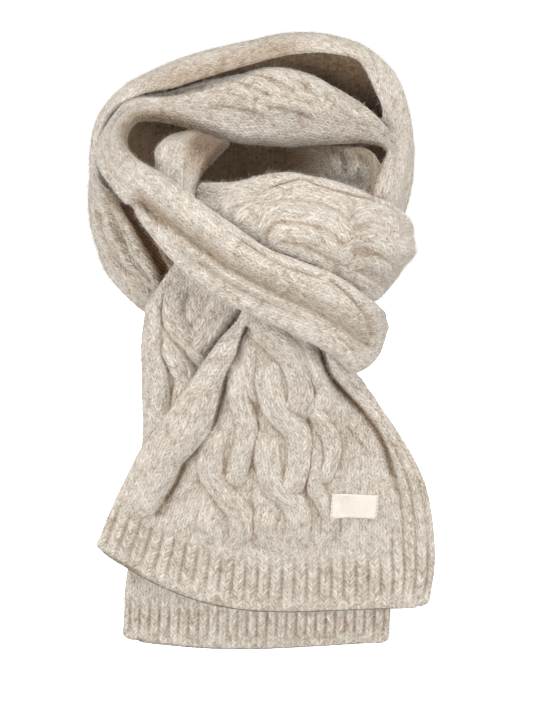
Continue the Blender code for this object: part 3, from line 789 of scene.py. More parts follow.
class Graph:
    """A short way to write a material's nodes."""

    def __init__(self, name: str) -> None:
        """Start a material of this name."""
        self.material = bpy.data.materials.new(name)
        self.material.use_nodes = True
        self.tree = self.material.node_tree

    def feed(self, node: bpy.types.Node, inputs: dict) -> bpy.types.Node:
        """Set or link a node's inputs.

        Args:
            node: The node.
            inputs: Values or output sockets, by input name or number.

        Returns:
            The node.
        """
        for key, value in inputs.items():
            if isinstance(value, Socket):
                self.tree.links.new(value, node.inputs[key])
            else:
                node.inputs[key].default_value = value
        return node

    def node(self, kind: str, inputs: dict, output: int | str = 0, **settings: object) -> Socket:
        """Add a node.

        Args:
            kind: Its type, without the ShaderNode prefix.
            inputs: Values or output sockets, by input name or number.
            output: Which output is wanted.
            settings: Attributes of the node.

        Returns:
            The output.
        """
        node = self.tree.nodes.new("ShaderNode" + kind)
        for key, value in settings.items():
            setattr(node, key, value)
        return self.feed(node, inputs).outputs[output]

    def finish(self, inputs: dict) -> bpy.types.Material:
        """The material, with inputs of its shader set or linked."""
        self.feed(self.tree.nodes["Principled BSDF"], inputs)
        return self.material

    def math(self, operation: str, a: object, b: object = 0.0) -> Socket:
        """Output of a Math node."""
        return self.node("Math", {0: a, 1: b}, operation=operation)

    add = partialmethod(math, "ADD")
    sub = partialmethod(math, "SUBTRACT")
    mul = partialmethod(math, "MULTIPLY")
    power = partialmethod(math, "POWER")

    def total(self, *parts: tuple[object, object]) -> Socket:
        """Sum of values, each times its weight."""
        return reduce(self.add, [self.mul(value, weight) for value, weight in parts])

    def wave(self, turns: object) -> Socket:
        """Nothing at every whole turn and one half way between."""
        return self.sub(0.5, self.mul(self.math("COSINE", self.mul(turns, TURN)), 0.5))

    def blend(self, share: object, a: object, b: object) -> Socket:
        """Output of a number mix."""
        return self.node("Mix", {0: share, 2: a, 3: b}, data_type="FLOAT")

    def tint(self, colour: object, shade: object) -> Socket:
        """One colour times another."""
        inputs = {0: 1.0, 6: colour, 7: shade}
        return self.node("Mix", inputs, 2, data_type="RGBA", blend_type="MULTIPLY")

    def ramp(self, share: object, *stops: tuple[float, Colour]) -> Socket:
        """Add a colour ramp.

        Args:
            share: Where on the ramp.
            stops: Place and colour of each stop.

        Returns:
            The colour.
        """
        colour = self.node("ValToRGB", {0: share})
        elements = colour.node.color_ramp.elements
        while len(elements) < len(stops):
            elements.new(1.0)
        for element, (place, shade) in zip(elements, stops):
            element.position = place
            element.color = shade
        return colour

    def noise(self, vector: object, scale: float, detail: float = 3.0) -> Socket:
        """Number output of a noise."""
        return self.node("TexNoise", {"Vector": vector, "Scale": scale, "Detail": detail})

    def combine(self, x: object, y: object, z: object) -> Socket:
        """A vector of three numbers."""
        return self.node("CombineXYZ", {0: x, 1: y, 2: z})

    def here(self) -> Socket:
        """The place on the piece."""
        return self.node("TexCoord", {}, "Object")

    def attribute(self, name: str) -> Socket:
        """A number stored on the mesh."""
        return self.node("Attribute", {}, "Fac", attribute_name=name)

    def counts(self, uv_map: str) -> tuple[Socket, Socket]:
        """The two numbers of a UV layer."""
        across = self.node("SeparateXYZ", {0: self.node("UVMap", {}, uv_map=uv_map)})
        return across, across.node.outputs[1]

    # Painted shade in the colour, read from the mesh's painted_shade mask.
    def shade_paint(self, full: float) -> Socket:
        """Painted shade: the colour multiplier from the painted_shade mask, warmer as it darkens,
        where a full mask keeps this share of the red.
        """
        kept = self.sub(1.0, self.mul(self.attribute("painted_shade"), 1.0 - full))
        low = self.math("MAXIMUM", kept, DARKEST_SHADE_PAINT)
        return self.combine(low, self.power(low, SHADE_PAINT_WARMTH[0]), self.power(low, SHADE_PAINT_WARMTH[1]))


@dataclass(frozen=True)
class HeatherYarn:
    """Brushed heather wool, with the legs of each stitch, loose plies and flecks of colour.

    Attributes:
        gauge: Size of a stitch.
        tan: Darkest shade that is mixed in.
        oat: Main shade.
        cream: Lightest shade.
        stops: Where each shade lies in the mix.
        ply: How fine the loose plies are along a leg and across it.
        lean: How far apart the plies of two legs are drawn.
        gap: Share of the light that the gaps between legs keep.
        reverse_gap: The same between purl bumps.
        shade_paint_kept: Share of the red that full painted shade keeps.
        reverse: Share of the light that a purl face keeps.
        warmth: Powers of the light in the gaps that green and blue keep.
        bump: Strength of its relief.
        bump_depth: Depth of its relief, in metres.
        roughness: Its roughness.
        sheen: Its sheen.
    """

    gauge: Gauge = Gauge()
    tan: Colour = (0.335, 0.235, 0.155, 1.0)
    oat: Colour = (0.565, 0.518, 0.458, 1.0)
    cream: Colour = (0.79, 0.76, 0.715, 1.0)
    stops: tuple[float, float, float] = (0.36, 0.47, 0.60)
    ply: tuple[float, float] = (5.0, 1.1)
    lean: float = 3.0
    gap: float = 0.67
    reverse_gap: float = 0.85
    shade_paint_kept: float = 0.42
    reverse: float = 0.85
    warmth: tuple[float, float] = (1.2, 1.5)
    bump: float = 0.65
    bump_depth: float = 0.0010
    roughness: float = 0.95
    sheen: float = 0.35

    def build(self) -> bpy.types.Material:
        """Write the material's nodes.

        Returns:
            The material.
        """
        g = Graph("heather_yarn")
        wale, course = g.counts("knit")
        purl = g.attribute("purl")
        from_middle = g.sub(g.math("FRACT", wale), 0.5)
        x = g.mul(g.math("ABSOLUTE", from_middle), 2.0)
        climb = g.sub(course, g.mul(x, self.gauge.slant))
        between = g.power(g.math("MAXIMUM", g.math("SINE", g.mul(x, math.pi)), 0.0), 0.5)
        face = g.mul(between, g.blend(g.wave(climb), 0.3, 1.0))
        columns = g.math("COSINE", g.mul(wale, TURN))
        back = g.mul(g.wave(course), g.add(0.7, g.mul(columns, 0.3)))
        stitch = g.blend(purl, face, back)

        lean = g.mul(g.math("SIGN", from_middle), self.lean)
        along, across = g.mul(climb, self.ply[0]), g.add(g.mul(x, self.ply[1]), lean)
        plies = g.noise(g.combine(along, across, wale), 1.0)
        half = g.add(g.mul(g.math("FLOOR", wale), 2.0), g.math("GREATER_THAN", from_middle, 0.0))
        one_leg = g.combine(half, g.math("FLOOR", climb), 0.5)
        leg_tone = g.node("TexWhiteNoise", {"Vector": one_leg}, "Value", noise_dimensions="3D")
        here = g.here()
        haze, flecks = g.noise(here, 620.0, 4.0), g.noise(here, 240.0)
        drift = g.noise(here, 34.0, 2.0)

        tone = g.total(
            (plies, 0.42), (haze, 0.26), (flecks, 0.22), (drift, 0.10), (g.sub(leg_tone, 0.5), 0.10)
        )
        colour = g.ramp(tone, *zip(self.stops, (self.tan, self.oat, self.cream)))
        # Painted shade: gaps between legs and purl faces are darkened in the colour, warmer as they
        # darken, on top of the painted_shade mask.
        gap = g.blend(purl, self.gap, self.reverse_gap)
        depth = g.mul(g.blend(g.power(stitch, 0.7), gap, 1.0), g.blend(purl, 1.0, self.reverse))
        shade = g.combine(depth, g.power(depth, self.warmth[0]), g.power(depth, self.warmth[1]))
        height = g.total((stitch, g.blend(purl, 0.55, 0.25)), (plies, 0.35), (haze, 0.35))
        bump = {"Strength": self.bump, "Distance": self.bump_depth, "Height": height}
        return g.finish({
            "Base Color": g.tint(g.tint(colour, shade), g.shade_paint(self.shade_paint_kept)),
            "Normal": g.node("Bump", bump),
            "Roughness": self.roughness,
            "Specular IOR Level": 0.15,
            "Sheen Weight": self.sheen,
            "Sheen Roughness": 0.5,
            "Sheen Tint": (1.0, 0.96, 0.90, 1.0),
        })


@dataclass(frozen=True)
class LooseFibre:
    """The single hairs that brushing has lifted.

    Attributes:
        tan: Darkest shade of a hair.
        cream: Lightest shade of a hair.
        shade_paint_kept: Share of the red that full painted shade keeps.
    """

    tan: Colour = (0.42, 0.33, 0.25, 1.0)
    cream: Colour = (0.78, 0.74, 0.68, 1.0)
    shade_paint_kept: float = 0.42

    def build(self) -> bpy.types.Material:
        """Write the material's nodes.

        Returns:
            The material.
        """
        g = Graph("loose_fibre")
        tone = g.add(g.attribute("tone"), g.mul(g.noise(g.here(), 300.0), 0.2))
        colour = g.ramp(tone, (0.15, self.tan), (0.55, self.cream))
        return g.finish({
            # Painted shade from the knit under the fibres darkens their colour.
            "Base Color": g.tint(colour, g.shade_paint(self.shade_paint_kept)),
            "Roughness": 0.8,
            "Specular IOR Level": 0.2,
            "Sheen Weight": 0.3,
        })


@dataclass(frozen=True)
class WovenTape:
    """Cream cotton tape in a fine plain weave.

    Attributes:
        colour: Colour of the threads.
        shadow: Colour between them.
        pitch: Distance between two threads that lie the same way.
    """

    colour: Colour = (0.74, 0.685, 0.60, 1.0)
    shadow: Colour = (0.44, 0.37, 0.29, 1.0)
    pitch: float = 0.9

    def build(self) -> bpy.types.Material:
        """Write the material's nodes.

        Returns:
            The material.
        """
        g = Graph("woven_tape")
        warp, weft = (g.math("SINE", g.mul(count, TURN / self.pitch)) for count in g.counts("tape"))
        weave = g.add(g.mul(g.mul(warp, weft), 0.5), 0.5)
        here = g.here()
        slub, drift = g.noise(here, 900.0), g.noise(here, 90.0, 2.0)
        tone = g.total((weave, 0.25), (slub, 0.4), (drift, 0.35))
        height = g.add(weave, slub)
        return g.finish({
            "Base Color": g.ramp(tone, (0.22, self.shadow), (0.45, self.colour)),
            "Normal": g.node("Bump", {"Strength": 0.35, "Distance": 0.00025, "Height": height}),
            "Roughness": 0.85,
            "Specular IOR Level": 0.25,
        })


@dataclass(frozen=True)
class SewingThread:
    """Straw-coloured sewing thread.

    Attributes:
        colour: Its colour.
        shadow: Share of its light between the plies.
    """

    colour: Colour = (0.58, 0.41, 0.23, 1.0)
    shadow: float = 0.7

    def build(self) -> bpy.types.Material:
        """Write the material's nodes.

        Returns:
            The material.
        """
        g = Graph("sewing_thread")
        dark = tuple(self.shadow * c for c in self.colour[:3]) + (1.0,)
        twist = g.noise(g.here(), 2500.0, 2.0)
        return g.finish({
            "Base Color": g.ramp(twist, (0.35, dark), (0.6, self.colour)),
            "Roughness": 0.6,
        })


# ---- meshes and pieces


class Shell:
    """The faces that close a fine outer grid with a coarser inner one.

    Each of its corners has two numbers: its vertex, and the outer point that it lies at or under.
    """

    def __init__(self, rows: int, columns: int, coarse: int) -> None:
        """Lay out the faces.

        Args:
            rows: Outer points along.
            columns: Outer points across.
            coarse: Outer steps in each inner step.
        """
        fine = np.arange(rows * columns).reshape(rows, columns)
        over = fine[::coarse, ::coarse]
        under = fine.size + np.arange(over.size).reshape(over.shape)
        self.top = face_corners(fine).reshape(-1, 4)
        flat, flat_at = (
            face_corners(ids)[..., [0, 3, 2, 1]].reshape(-1, 4) for ids in (under, over)
        )
        rims, rims_at = [], []
        for side in (np.s_[0, :], np.s_[-1, ::-1], np.s_[::-1, 0], np.s_[:, -1]):
            outer, inner = fine[side], under[side]
            first = coarse * np.arange(len(inner) - 1)[:, None]
            part = outer[first + np.arange(coarse, -1, -1)]
            rims.append(np.column_stack([inner[:-1], inner[1:], part]))
            rims_at.append(np.column_stack([part[:, -1], part[:, 0], part]))
        self.flat_count, self.rim_count = len(flat), sum(map(len, rims))
        self.loops = np.concatenate([ids.ravel() for ids in (self.top, flat, *rims)])
        self.below_at = np.concatenate([ids.ravel() for ids in (flat_at, *rims_at)])
        self.sizes = np.repeat([4, coarse + 3], [len(self.top) + len(flat), self.rim_count])


def mesh_of(name: str, points: Array, loops: Array, sizes: Array) -> bpy.types.Mesh:
    """Make a mesh.

    Args:
        name: Its name.
        points: Its vertices.
        loops: Vertices of its faces, face after face.
        sizes: Number of corners of each face.

    Returns:
        The mesh.
    """
    mesh = bpy.data.meshes.new(name)
    mesh.vertices.add(len(points))
    mesh.vertices.foreach_set("co", (points * MM).ravel().astype(np.float32))
    mesh.loops.add(len(loops))
    mesh.loops.foreach_set("vertex_index", loops.astype(np.int32))
    mesh.polygons.add(len(sizes))
    starts = np.concatenate([[0], np.cumsum(sizes)[:-1]])
    mesh.polygons.foreach_set("loop_start", starts.astype(np.int32))
    mesh.update(calc_edges=True)
    return mesh


def store(mesh: bpy.types.Mesh, name: str, domain: str, values: Array) -> None:
    """Store one number for each point or face of a mesh."""
    mesh.attributes.new(name, "FLOAT", domain).data.foreach_set("value", values.astype(np.float32))


def put(name: str, data: bpy.types.ID) -> bpy.types.Object:
    """Put an object in the scene."""
    item = bpy.data.objects.new(name, data)
    bpy.context.scene.collection.objects.link(item)
    return item


def wear(data: bpy.types.ID, material: bpy.types.Material) -> bpy.types.Object:
    """Dress a mesh or curve in its finish and put it on the one body.

    Args:
        data: The mesh or curve, whose name the piece takes.
        material: Its finish.

    Returns:
        The piece.
    """
    data.materials.append(material)
    piece = put(data.name, data)
    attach(piece, BODY)
    return piece


# ---- cloth

# Wales between the counts of two paths, and how high a cable is where its stitches take over.
PATH_APART = 40
CABLE_SHOWS = 0.35
# Share along over which folds deepen.
FOLD_EASE = 0.04
# Shares across: where ribs start to lean, how they ease in and out of it, where they climb.
HANG_EDGE = 0.12
HANG_EASE = (0.32, 0.14)
CLIMB_WIDTH = 0.4
CLIMB_POWER = 1.5
BORDER_FROM = 0.85
BORDER_EASE = 0.05
# How ribs start and end, how round they are, and how much shade is painted in a groove between
# them.
RIB_START = 11.0
RIB_END = 9.0
HEM_BAND = 0.45
RIB_POWER = 0.55
RIB_SHADE_PAINT = 0.35
# How far past a hem its rounded corners still move the margin rows, as a share of the corner.
MARGIN_REACH = 1.2
# Levels, as shares of a stitch's relief, of the wall itself and of a purl face.
FACE_LEVEL = 0.4
PURL_LEVEL = 0.3


@dataclass(frozen=True)
class Ground:
    """The grid of a stretch before anything is raised in it.

    Attributes:
        loft: Its surface.
        us: Shares along, one for each row.
        vs: Shares across, one for each column.
        points: Its points.
        normals: Its outward normals.
        arc: Width of each row.
    """

    loft: Loft
    us: Array
    vs: Array
    points: Array
    normals: Array
    arc: Array

    def front(self) -> tuple[Array, Array]:
        """X and Z of its points."""
        return self.points[..., 0], self.points[..., 2]


@dataclass
class Wall:
    """The fine outer grid of a stretch, kept so that fibres and the label can stand on it."""

    name: str
    outer: Array
    normals: Array
    painted_shade: Array
    nap: float
    piece: bpy.types.Object | None = None


@dataclass
class Stretch:
    """One stretch of the knitted strip.

    Attributes:
        name: The solid that it stands for.
        rows: Table of its loft.
        span: Where it starts and stops, as shares of the loft.
        flat: Width and length of its cut, in metres; not used.
        held: How it is held; not used.
        rests_on: The stretch that it lies on; not used.
        ridges: Ridges along it.
        folds: Folds of the whole wall.
        fold_from: Share along where its folds have reached their depth.
        cables: Cables raised in its face.
        wales: Paths that its stitches follow; without any they run straight along it.
        shade_paint: Patches of shade painted on it, where it lies deep in shade.
        ribs: Ribs across it.
        rib_top: Share along where the ribs end.
        rib_climb: How much further they climb at the first edge.
        rib_border: How much further they climb at the last edge.
        rib_hang: How far ribs lean back towards the plumb at the hem, as a share across.
        ribbed: Whether its stitches are counted rib by rib.
        hem: Whether its first end is a hem.
        pitch: Distance between points across and along it.
        lanes: Shares across at which courses are spaced truly.
        fade_in: Share along at which cables have risen fully from the wall.
        fade_out: Share along at which cables start to sink into the wall.
        inside: How much shade is painted on its inner face.
        nap: Lifted fibres on each square millimetre.
        wall: Thickness of the cloth.
        corner: Radius of a hem's corners.
        edge: Share across over which folds and cables sink at an edge.
        edge_draw: Share of a full half-round that an edge has.
        hem_bevel: How much longer than deep the rounding of a hem is.
        rib_height: Depth of the grooves between ribs.
        rib_face: Share of a rib that shows face stitches.
        around: How far round a point its height is compared, for the shade painted in its creases.
        shallow: Depth below its surroundings at which that painted shade starts.
        painted_shade_depth: Depth that takes the painted shade from nothing to full.
        gauge: Size of its stitches.
        coarse: Outer points for each inner one.
        margin: Rows worked out past each end, so that seams match.
        lap: How far it runs under the next stretch.
    """

    name: str
    rows: Sequence[Row]
    span: tuple[float, float]
    flat: tuple[float, float]
    held: Held
    rests_on: str
    ridges: Sequence[Ridge] = ()
    folds: Sequence[Fold] = ()
    fold_from: float = 0.0
    cables: Sequence[Cable] = ()
    wales: Sequence[Points] = ()
    shade_paint: Sequence[ShadePatch] = ()
    ribs: int = 0
    rib_top: float = 0.0
    rib_climb: float = 0.0
    rib_border: float = 0.0
    rib_hang: float = 0.0
    ribbed: bool = False
    hem: bool = False
    pitch: tuple[float, float] = (1.05, 0.92)
    lanes: tuple[float, ...] = (0.08, 0.25, 0.5, 0.75, 0.92)
    fade_in: float = 0.0
    fade_out: float = 1.0
    inside: float = 0.5
    nap: float = 0.58
    wall: float = 5.0
    corner: float = 9.0
    edge: float = 0.12
    edge_draw: float = 0.92
    hem_bevel: float = 1.8
    rib_height: float = 1.8
    rib_face: float = 0.80
    around: float = 2.8
    shallow: float = 0.1
    painted_shade_depth: float = 1.4
    gauge: Gauge = Gauge()
    coarse: int = 3
    margin: int = 3
    lap: float = 1.4

    def ground(self) -> Ground:
        """Lay out its grid.

        Returns:
            The grid, with a margin of rows past each seam.
        """
        loft = Loft(self.rows)
        start, stop = self.span
        if stop < 1.0:
            stop += self.lap / loft.length
        widest = loft.surface(np.linspace(start, stop, 12), np.array([0.0, 1.0]))[2].max()
        long = loft.length * (stop - start)
        rows = self.coarse * max(4, round(long / self.pitch[1] / self.coarse))
        columns = self.coarse * max(4, round(widest / self.pitch[0] / self.coarse))
        step = (stop - start) / rows
        us = start + step * np.arange(-self.margin, rows + self.margin + 1)
        vs = np.linspace(0.0, 1.0, columns + 1)
        return Ground(loft, us, vs, *loft.surface(us, vs))

    def rib_count(self, ground: Ground) -> Array:
        """Count the ribs across, which hang nearer the plumb where the tail fans out.

        Args:
            ground: Its grid.

        Returns:
            One count for each point.
        """
        down = held_in(1.0 - ground.us / max(self.rib_top, TINY))
        vs = ground.vs
        hang = held_in((vs - HANG_EDGE) / HANG_EASE[0]) * held_in((1.0 - vs) / HANG_EASE[1])
        return self.ribs * (vs[None, :] - self.rib_hang * np.outer(down, hang))

    def rib_stitches(self, ground: Ground) -> tuple[Array, Array]:
        """Count wales rib by rib, and courses straight up them.

        Args:
            ground: Its grid.

        Returns:
            Wales and courses at the corners of every face.
        """
        count = face_corners(self.rib_count(ground))
        run = ground.loft.wale_length(0.5, ground.us)[:, None] / self.gauge.course
        rib = np.floor(count.mean(-1))[..., None]
        wales = rib + 0.5 + (count - rib - 0.5) / self.rib_face
        return wales, face_corners(np.tile(run, len(ground.vs)))

    def path_stitches(self, ground: Ground) -> tuple[Array, Array]:
        """Count wales and courses from the nearest of the paths that stitches follow.

        Args:
            ground: Its grid.

        Returns:
            Wales and courses at the corners of every face.
        """
        best = np.full((len(ground.us) - 1, len(ground.vs) - 1), np.inf)
        wales, courses = np.empty((2, *best.shape, 4))
        for number, path in enumerate(self.wales):
            place, side, _ = measure(path, *ground.front())
            far = np.abs(face_corners(side)).mean(-1)
            nearer = (far < best)[..., None]
            best = np.minimum(best, far)
            beside = face_corners(side) / self.gauge.wale + PATH_APART * number
            wales = np.where(nearer, beside, wales)
            courses = np.where(nearer, -face_corners(place) / self.gauge.course, courses)
        return wales, courses

    def lane_stitches(self, ground: Ground) -> tuple[Array, Array]:
        """Count wales straight along the stretch, and courses by the length of the nearest lane.

        Args:
            ground: Its grid.

        Returns:
            Wales and courses at the corners of every face.
        """
        vs = ground.vs
        wide = (vs[None, :] - 0.5) * ground.arc[:, None] / self.gauge.wale
        chosen = np.abs(((vs[1:] + vs[:-1]) / 2)[:, None] - np.array(self.lanes)).argmin(1)
        runs = np.array([ground.loft.wale_length(at, ground.us) for at in self.lanes])
        picked = (runs / self.gauge.course)[chosen].T
        return face_corners(wide), np.stack([picked[:-1], picked[:-1], picked[1:], picked[1:]], 2)

    def stitches(self, ground: Ground) -> tuple[Array, Array, Array]:
        """Count wales and courses, and raise the cables, which carry stitches of their own.

        Args:
            ground: Its grid.

        Returns:
            Wales and courses at the corners of every face, and cable heights.
        """
        relief = np.zeros(ground.points.shape[:2])
        if self.ribbed:
            return *self.rib_stitches(ground), relief
        wales, courses = self.path_stitches(ground) if self.wales else self.lane_stitches(ground)
        top = np.full(wales.shape[:2], CABLE_SHOWS)
        for number, cable in enumerate(self.cables):
            layers = cable.layers(*ground.front(), self.gauge)
            for order, (height, across, along) in enumerate(layers):
                relief = np.maximum(relief, height)
                level = face_corners(height).mean(-1)
                higher = (level > top)[..., None]
                top = np.maximum(top, level)
                apart = PATH_APART * (10 + number * 9 + order)
                wales = np.where(higher, face_corners(across) + apart, wales)
                courses = np.where(higher, -face_corners(along), courses)
        return wales, courses, relief

    def folded(self, ground: Ground) -> tuple[Array, list[Array]]:
        """Press the folds and lay the painted shade.

        Args:
            ground: Its grid.

        Returns:
            How far each point is pushed out, and every layer of painted shade.
        """
        us = ground.us
        reach = held_in((us - self.fold_from) / FOLD_EASE + 1.0)[:, None]
        bend = np.zeros(ground.points.shape[:2])
        shades = [part.depth(us, ground.vs) for part in self.shade_paint]
        for fold in self.folds:
            rise, shade_paint = fold.press(*ground.front())
            bend = bend + rise * reach
            shades.append(shade_paint * reach)
        return bend, shades

    def strength(self, us: Array) -> Array:
        """Let the relief rise from the wall and sink back.

        Args:
            us: Shares along.

        Returns:
            How much of the relief each row has.
        """
        sink = held_in((us - self.fade_out) / max(TINY, 1.0 - self.fade_out))
        if self.fade_in:
            rise = (us - self.span[0]) / (self.fade_in - self.span[0])
            sink = np.maximum(sink, 1.0 - held_in(rise))
        return (1.0 - eased(sink))[:, None]

    def grooves(self, ground: Ground, count: Array) -> Array:
        """How deep each point lies between two ribs.

        Args:
            ground: Its grid.
            count: Ribs counted across every row.

        Returns:
            Nothing on a rib or above the ribs, and one at the bottom of a groove.
        """
        us, vs, length = ground.us, ground.vs, ground.loft.length
        climb = self.rib_climb * held_in(1.0 - vs / CLIMB_WIDTH) ** CLIMB_POWER
        climb = climb + self.rib_border * held_in((vs - BORDER_FROM) / BORDER_EASE)
        below_top = (((self.rib_top - us) * length)[:, None] + climb[None, :]) / RIB_START
        above_hem = us[:, None] * length / RIB_END - HEM_BAND
        return (1.0 - wave(count) ** RIB_POWER) * eased(held_in(np.minimum(below_top, above_hem)))

    def rounding(self, along: Array, across: Array) -> Array:
        """How far the wall is drawn in near its edges, so that they are round.

        Args:
            along: Distance of each row from a hem.
            across: Distance of each point from the nearer edge.

        Returns:
            One depth for each point.
        """
        radius = self.wall / 2
        near = np.clip(np.minimum(along[:, None] / self.hem_bevel, across), 0.0, radius)
        return self.edge_draw * (radius - np.sqrt(radius**2 - (radius - near) ** 2))

    def corners(self, base: Array, along: Array, across: Array) -> Array:
        """Moves that round the two corners of a hem.

        Args:
            base: Points of the surface.
            along: Distance of each row from the hem.
            across: Distance of each point from the nearer edge.

        Returns:
            One move for each point.
        """
        p = np.clip(1.0 - along[:, None] / self.corner, 0.0, MARGIN_REACH)
        q = held_in(1.0 - across / self.corner)
        rise = p * (1.0 - np.sqrt(1.0 - q**2 / 2)) * self.corner
        draw = q * (1.0 - np.sqrt(1.0 - p**2 / 2)) * self.corner
        inward = unit(np.gradient(base, axis=1)) * draw[..., None]
        left = np.arange(base.shape[1]) < base.shape[1] / 2
        upward = unit(np.gradient(base, axis=0)) * rise[..., None]
        return upward + np.where(left[None, :, None], inward, -inward)

    def build(self, material: bpy.types.Material) -> Wall:
        """Build the stretch.

        Args:
            material: Its finish.

        Returns:
            The piece with its outer grid.
        """
        ground = self.ground()
        us, vs, base, normals = ground.us, ground.vs, ground.points, ground.normals
        fade = held_in(np.minimum(vs, 1.0 - vs) / self.edge)[None, :]
        bend, shades = self.folded(ground)
        bend = bend * fade
        wales, courses, relief = self.stitches(ground)
        ridges = sum((r.height * dome(vs - r.at, r.width) for r in self.ridges), 0 * vs)
        relief = (relief + ridges[None, :]) * fade * self.strength(us)
        level = bend + relief
        # Painted shade: points lower than their surroundings, in creases and between strands, are
        # darkened in the colour.
        nearby = evened(level, [round(self.around / self.pitch[k]) for k in (1, 0)])
        painted_shade = held_in((nearby - level - self.shallow) / self.painted_shade_depth)
        for shade in shades:
            painted_shade = np.maximum(painted_shade, shade)
        face = self.gauge.face_side(wales, courses)
        purl = np.zeros(face.shape[:2])
        count = self.rib_count(ground)
        if self.ribbed:
            off = np.abs((count[:-1, :-1] + count[1:, 1:]) / 2 % 1.0 - 0.5)
            purl = (off > self.rib_face / 2).astype(float)
            face = np.where(purl[..., None] > 0, PURL_LEVEL, face)
        if self.ribs:
            sunk = self.grooves(ground, count)
            relief = relief - self.rib_height * sunk
            # Painted shade in the grooves between ribs.
            painted_shade = np.maximum(painted_shade, RIB_SHADE_PAINT * sunk**2)
        relief = relief + self.gauge.relief * (point_means(face) - FACE_LEVEL)
        along = (us - self.span[0]) * ground.loft.length if self.hem else np.full(len(us), BEYOND)
        across = np.minimum(vs, 1.0 - vs)[None, :] * ground.arc[:, None]
        drawn = self.rounding(along, across)
        if self.hem:
            base = base + self.corners(base, along, across)
        body = base + normals * bend[..., None]
        outer = body + grid_normals(body) * (relief - drawn)[..., None]
        inner = body + normals * (drawn - self.wall)[..., None]
        keep = slice(self.margin, len(us) - self.margin)
        faces = slice(self.margin, len(us) - self.margin - 1)
        wall = Wall(self.name, outer[keep], grid_normals(outer)[keep], painted_shade[keep], self.nap)
        knit = np.stack([wales[faces], courses[faces]], -1)
        mesh = self.mesh(wall, inner[keep][:: self.coarse, :: self.coarse], knit, purl[faces])
        wall.piece = wear(mesh, material)
        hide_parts(self.name)
        return wall

    def mesh(self, wall: Wall, inner: Array, knit: Array, purl: Array) -> bpy.types.Mesh:
        """Close the outer grid with an inner one and store what the yarn's finish reads.

        Args:
            wall: The outer grid.
            inner: Inner points, one for every few outer ones.
            knit: Wale and course counts at face corners.
            purl: One for each outer face that shows its reverse.

        Returns:
            The mesh.
        """
        shell = Shell(*wall.painted_shade.shape, self.coarse)
        points = np.concatenate([wall.outer.reshape(-1, 3), inner.reshape(-1, 3)])
        mesh = mesh_of("knit_" + self.name, points, shell.loops, shell.sizes)
        mesh.validate()
        at_points = np.stack([point_means(knit[..., k]).ravel() for k in (0, 1)], -1)
        counts = np.concatenate([knit.reshape(-1, 2), at_points[shell.below_at]])
        mesh.uv_layers.new(name="knit").uv.foreach_set("vector", counts.ravel().astype(np.float32))
        marks = [purl.ravel(), np.ones(shell.flat_count), np.zeros(shell.rim_count)]
        store(mesh, "purl", "FACE", np.concatenate(marks))
        # The inner face gets an even painted shade, as much as inside gives.
        inside = np.full(inner[..., 0].size, self.inside)
        store(mesh, "painted_shade", "POINT", np.append(wall.painted_shade.ravel(), inside))
        mesh.shade_smooth()
        every = np.concatenate([wall.normals.reshape(-1, 3), -grid_normals(inner).reshape(-1, 3)])
        mesh.normals_split_custom_set_from_vertices(every.tolist())
        return mesh


@dataclass(frozen=True)
class Brushing:
    """The fibres that brushing has lifted from one wall, as thin bent blades.

    Attributes:
        length: Usual length.
        length_spread: How much lengths differ.
        width: Width at the root.
        taper: Share of the width that is left at the bend.
        lift: Usual rise of a fibre, as a share of its length.
        lift_spread: How much rises differ.
        lift_range: Least and most rise.
        bend: How much a fibre turns half way.
        droop: How much it falls back there.
        rooted: How deep a fibre starts in the knit.
        sheltered: Share of the fibres that full painted shade takes away.
    """

    length: float = 3.6
    length_spread: float = 0.38
    width: float = 0.12
    taper: float = 0.8
    lift: float = 0.42
    lift_spread: float = 0.28
    lift_range: tuple[float, float] = (0.05, 0.98)
    bend: float = 0.55
    droop: float = 0.25
    rooted: float = 0.25
    sheltered: float = 0.7

    def build(self, wall: Wall, material: bpy.types.Material, seed: int) -> bpy.types.Object:
        """Grow the fibres of one wall.

        Args:
            wall: What they stand on.
            material: Their finish.
            seed: Seed of their places.

        Returns:
            The piece.
        """
        rng = np.random.default_rng(seed)
        grid = wall.outer
        size = np.cross(grid[1:, :-1] - grid[:-1, :-1], grid[:-1, 1:] - grid[:-1, :-1])
        open_share = np.clip(1.0 - self.sheltered * wall.painted_shade[1:, 1:], 0.1, 1.0)
        area = (np.linalg.norm(size, axis=-1) * open_share).ravel()
        count = int(area.sum() * wall.nap)
        cell = rng.choice(len(area), count, p=area / area.sum())
        i, j = np.divmod(cell, grid.shape[1] - 1)
        fi, fj = rng.random((2, count, 1))
        root = (grid[i, j] * (1 - fi) + grid[i + 1, j] * fi) * (1 - fj)
        root += (grid[i, j + 1] * (1 - fi) + grid[i + 1, j + 1] * fi) * fj
        up = wall.normals[i, j]
        flow = rng.normal(size=(count, 3))
        flow = unit(flow - (flow * up).sum(1, keepdims=True) * up)
        length = self.length * np.exp(rng.normal(0.0, self.length_spread, (count, 1)))
        rise = np.clip(rng.normal(self.lift, self.lift_spread, (count, 1)), *self.lift_range)
        first = unit(flow * np.sqrt(1 - rise**2) + up * rise)
        second = unit(first + rng.normal(0.0, self.bend, (count, 3)) - up * self.droop)
        middle = root + first * length * 0.5
        tip = middle + second * length * 0.5
        root = root - up * self.rooted
        flat = unit(np.cross(first, rng.normal(size=(count, 3)))) * self.width * 0.5
        thin = flat * self.taper
        points = np.stack([root - flat, root + flat, middle + thin, middle - thin, tip], 1)
        base = np.arange(count)[:, None] * 5
        loops = np.concatenate([(base + [0, 1, 2, 3]).ravel(), (base + [3, 2, 4]).ravel()])
        sizes = np.repeat([4, 3], count)
        mesh = mesh_of("fibres_" + wall.name, points.reshape(-1, 3), loops, sizes)
        store(mesh, "tone", "POINT", np.repeat(rng.random(count), 5))
        # Each fibre takes the painted shade of the knit at its root.
        store(mesh, "painted_shade", "POINT", np.repeat(wall.painted_shade[i, j], 5))
        return wear(mesh, material)


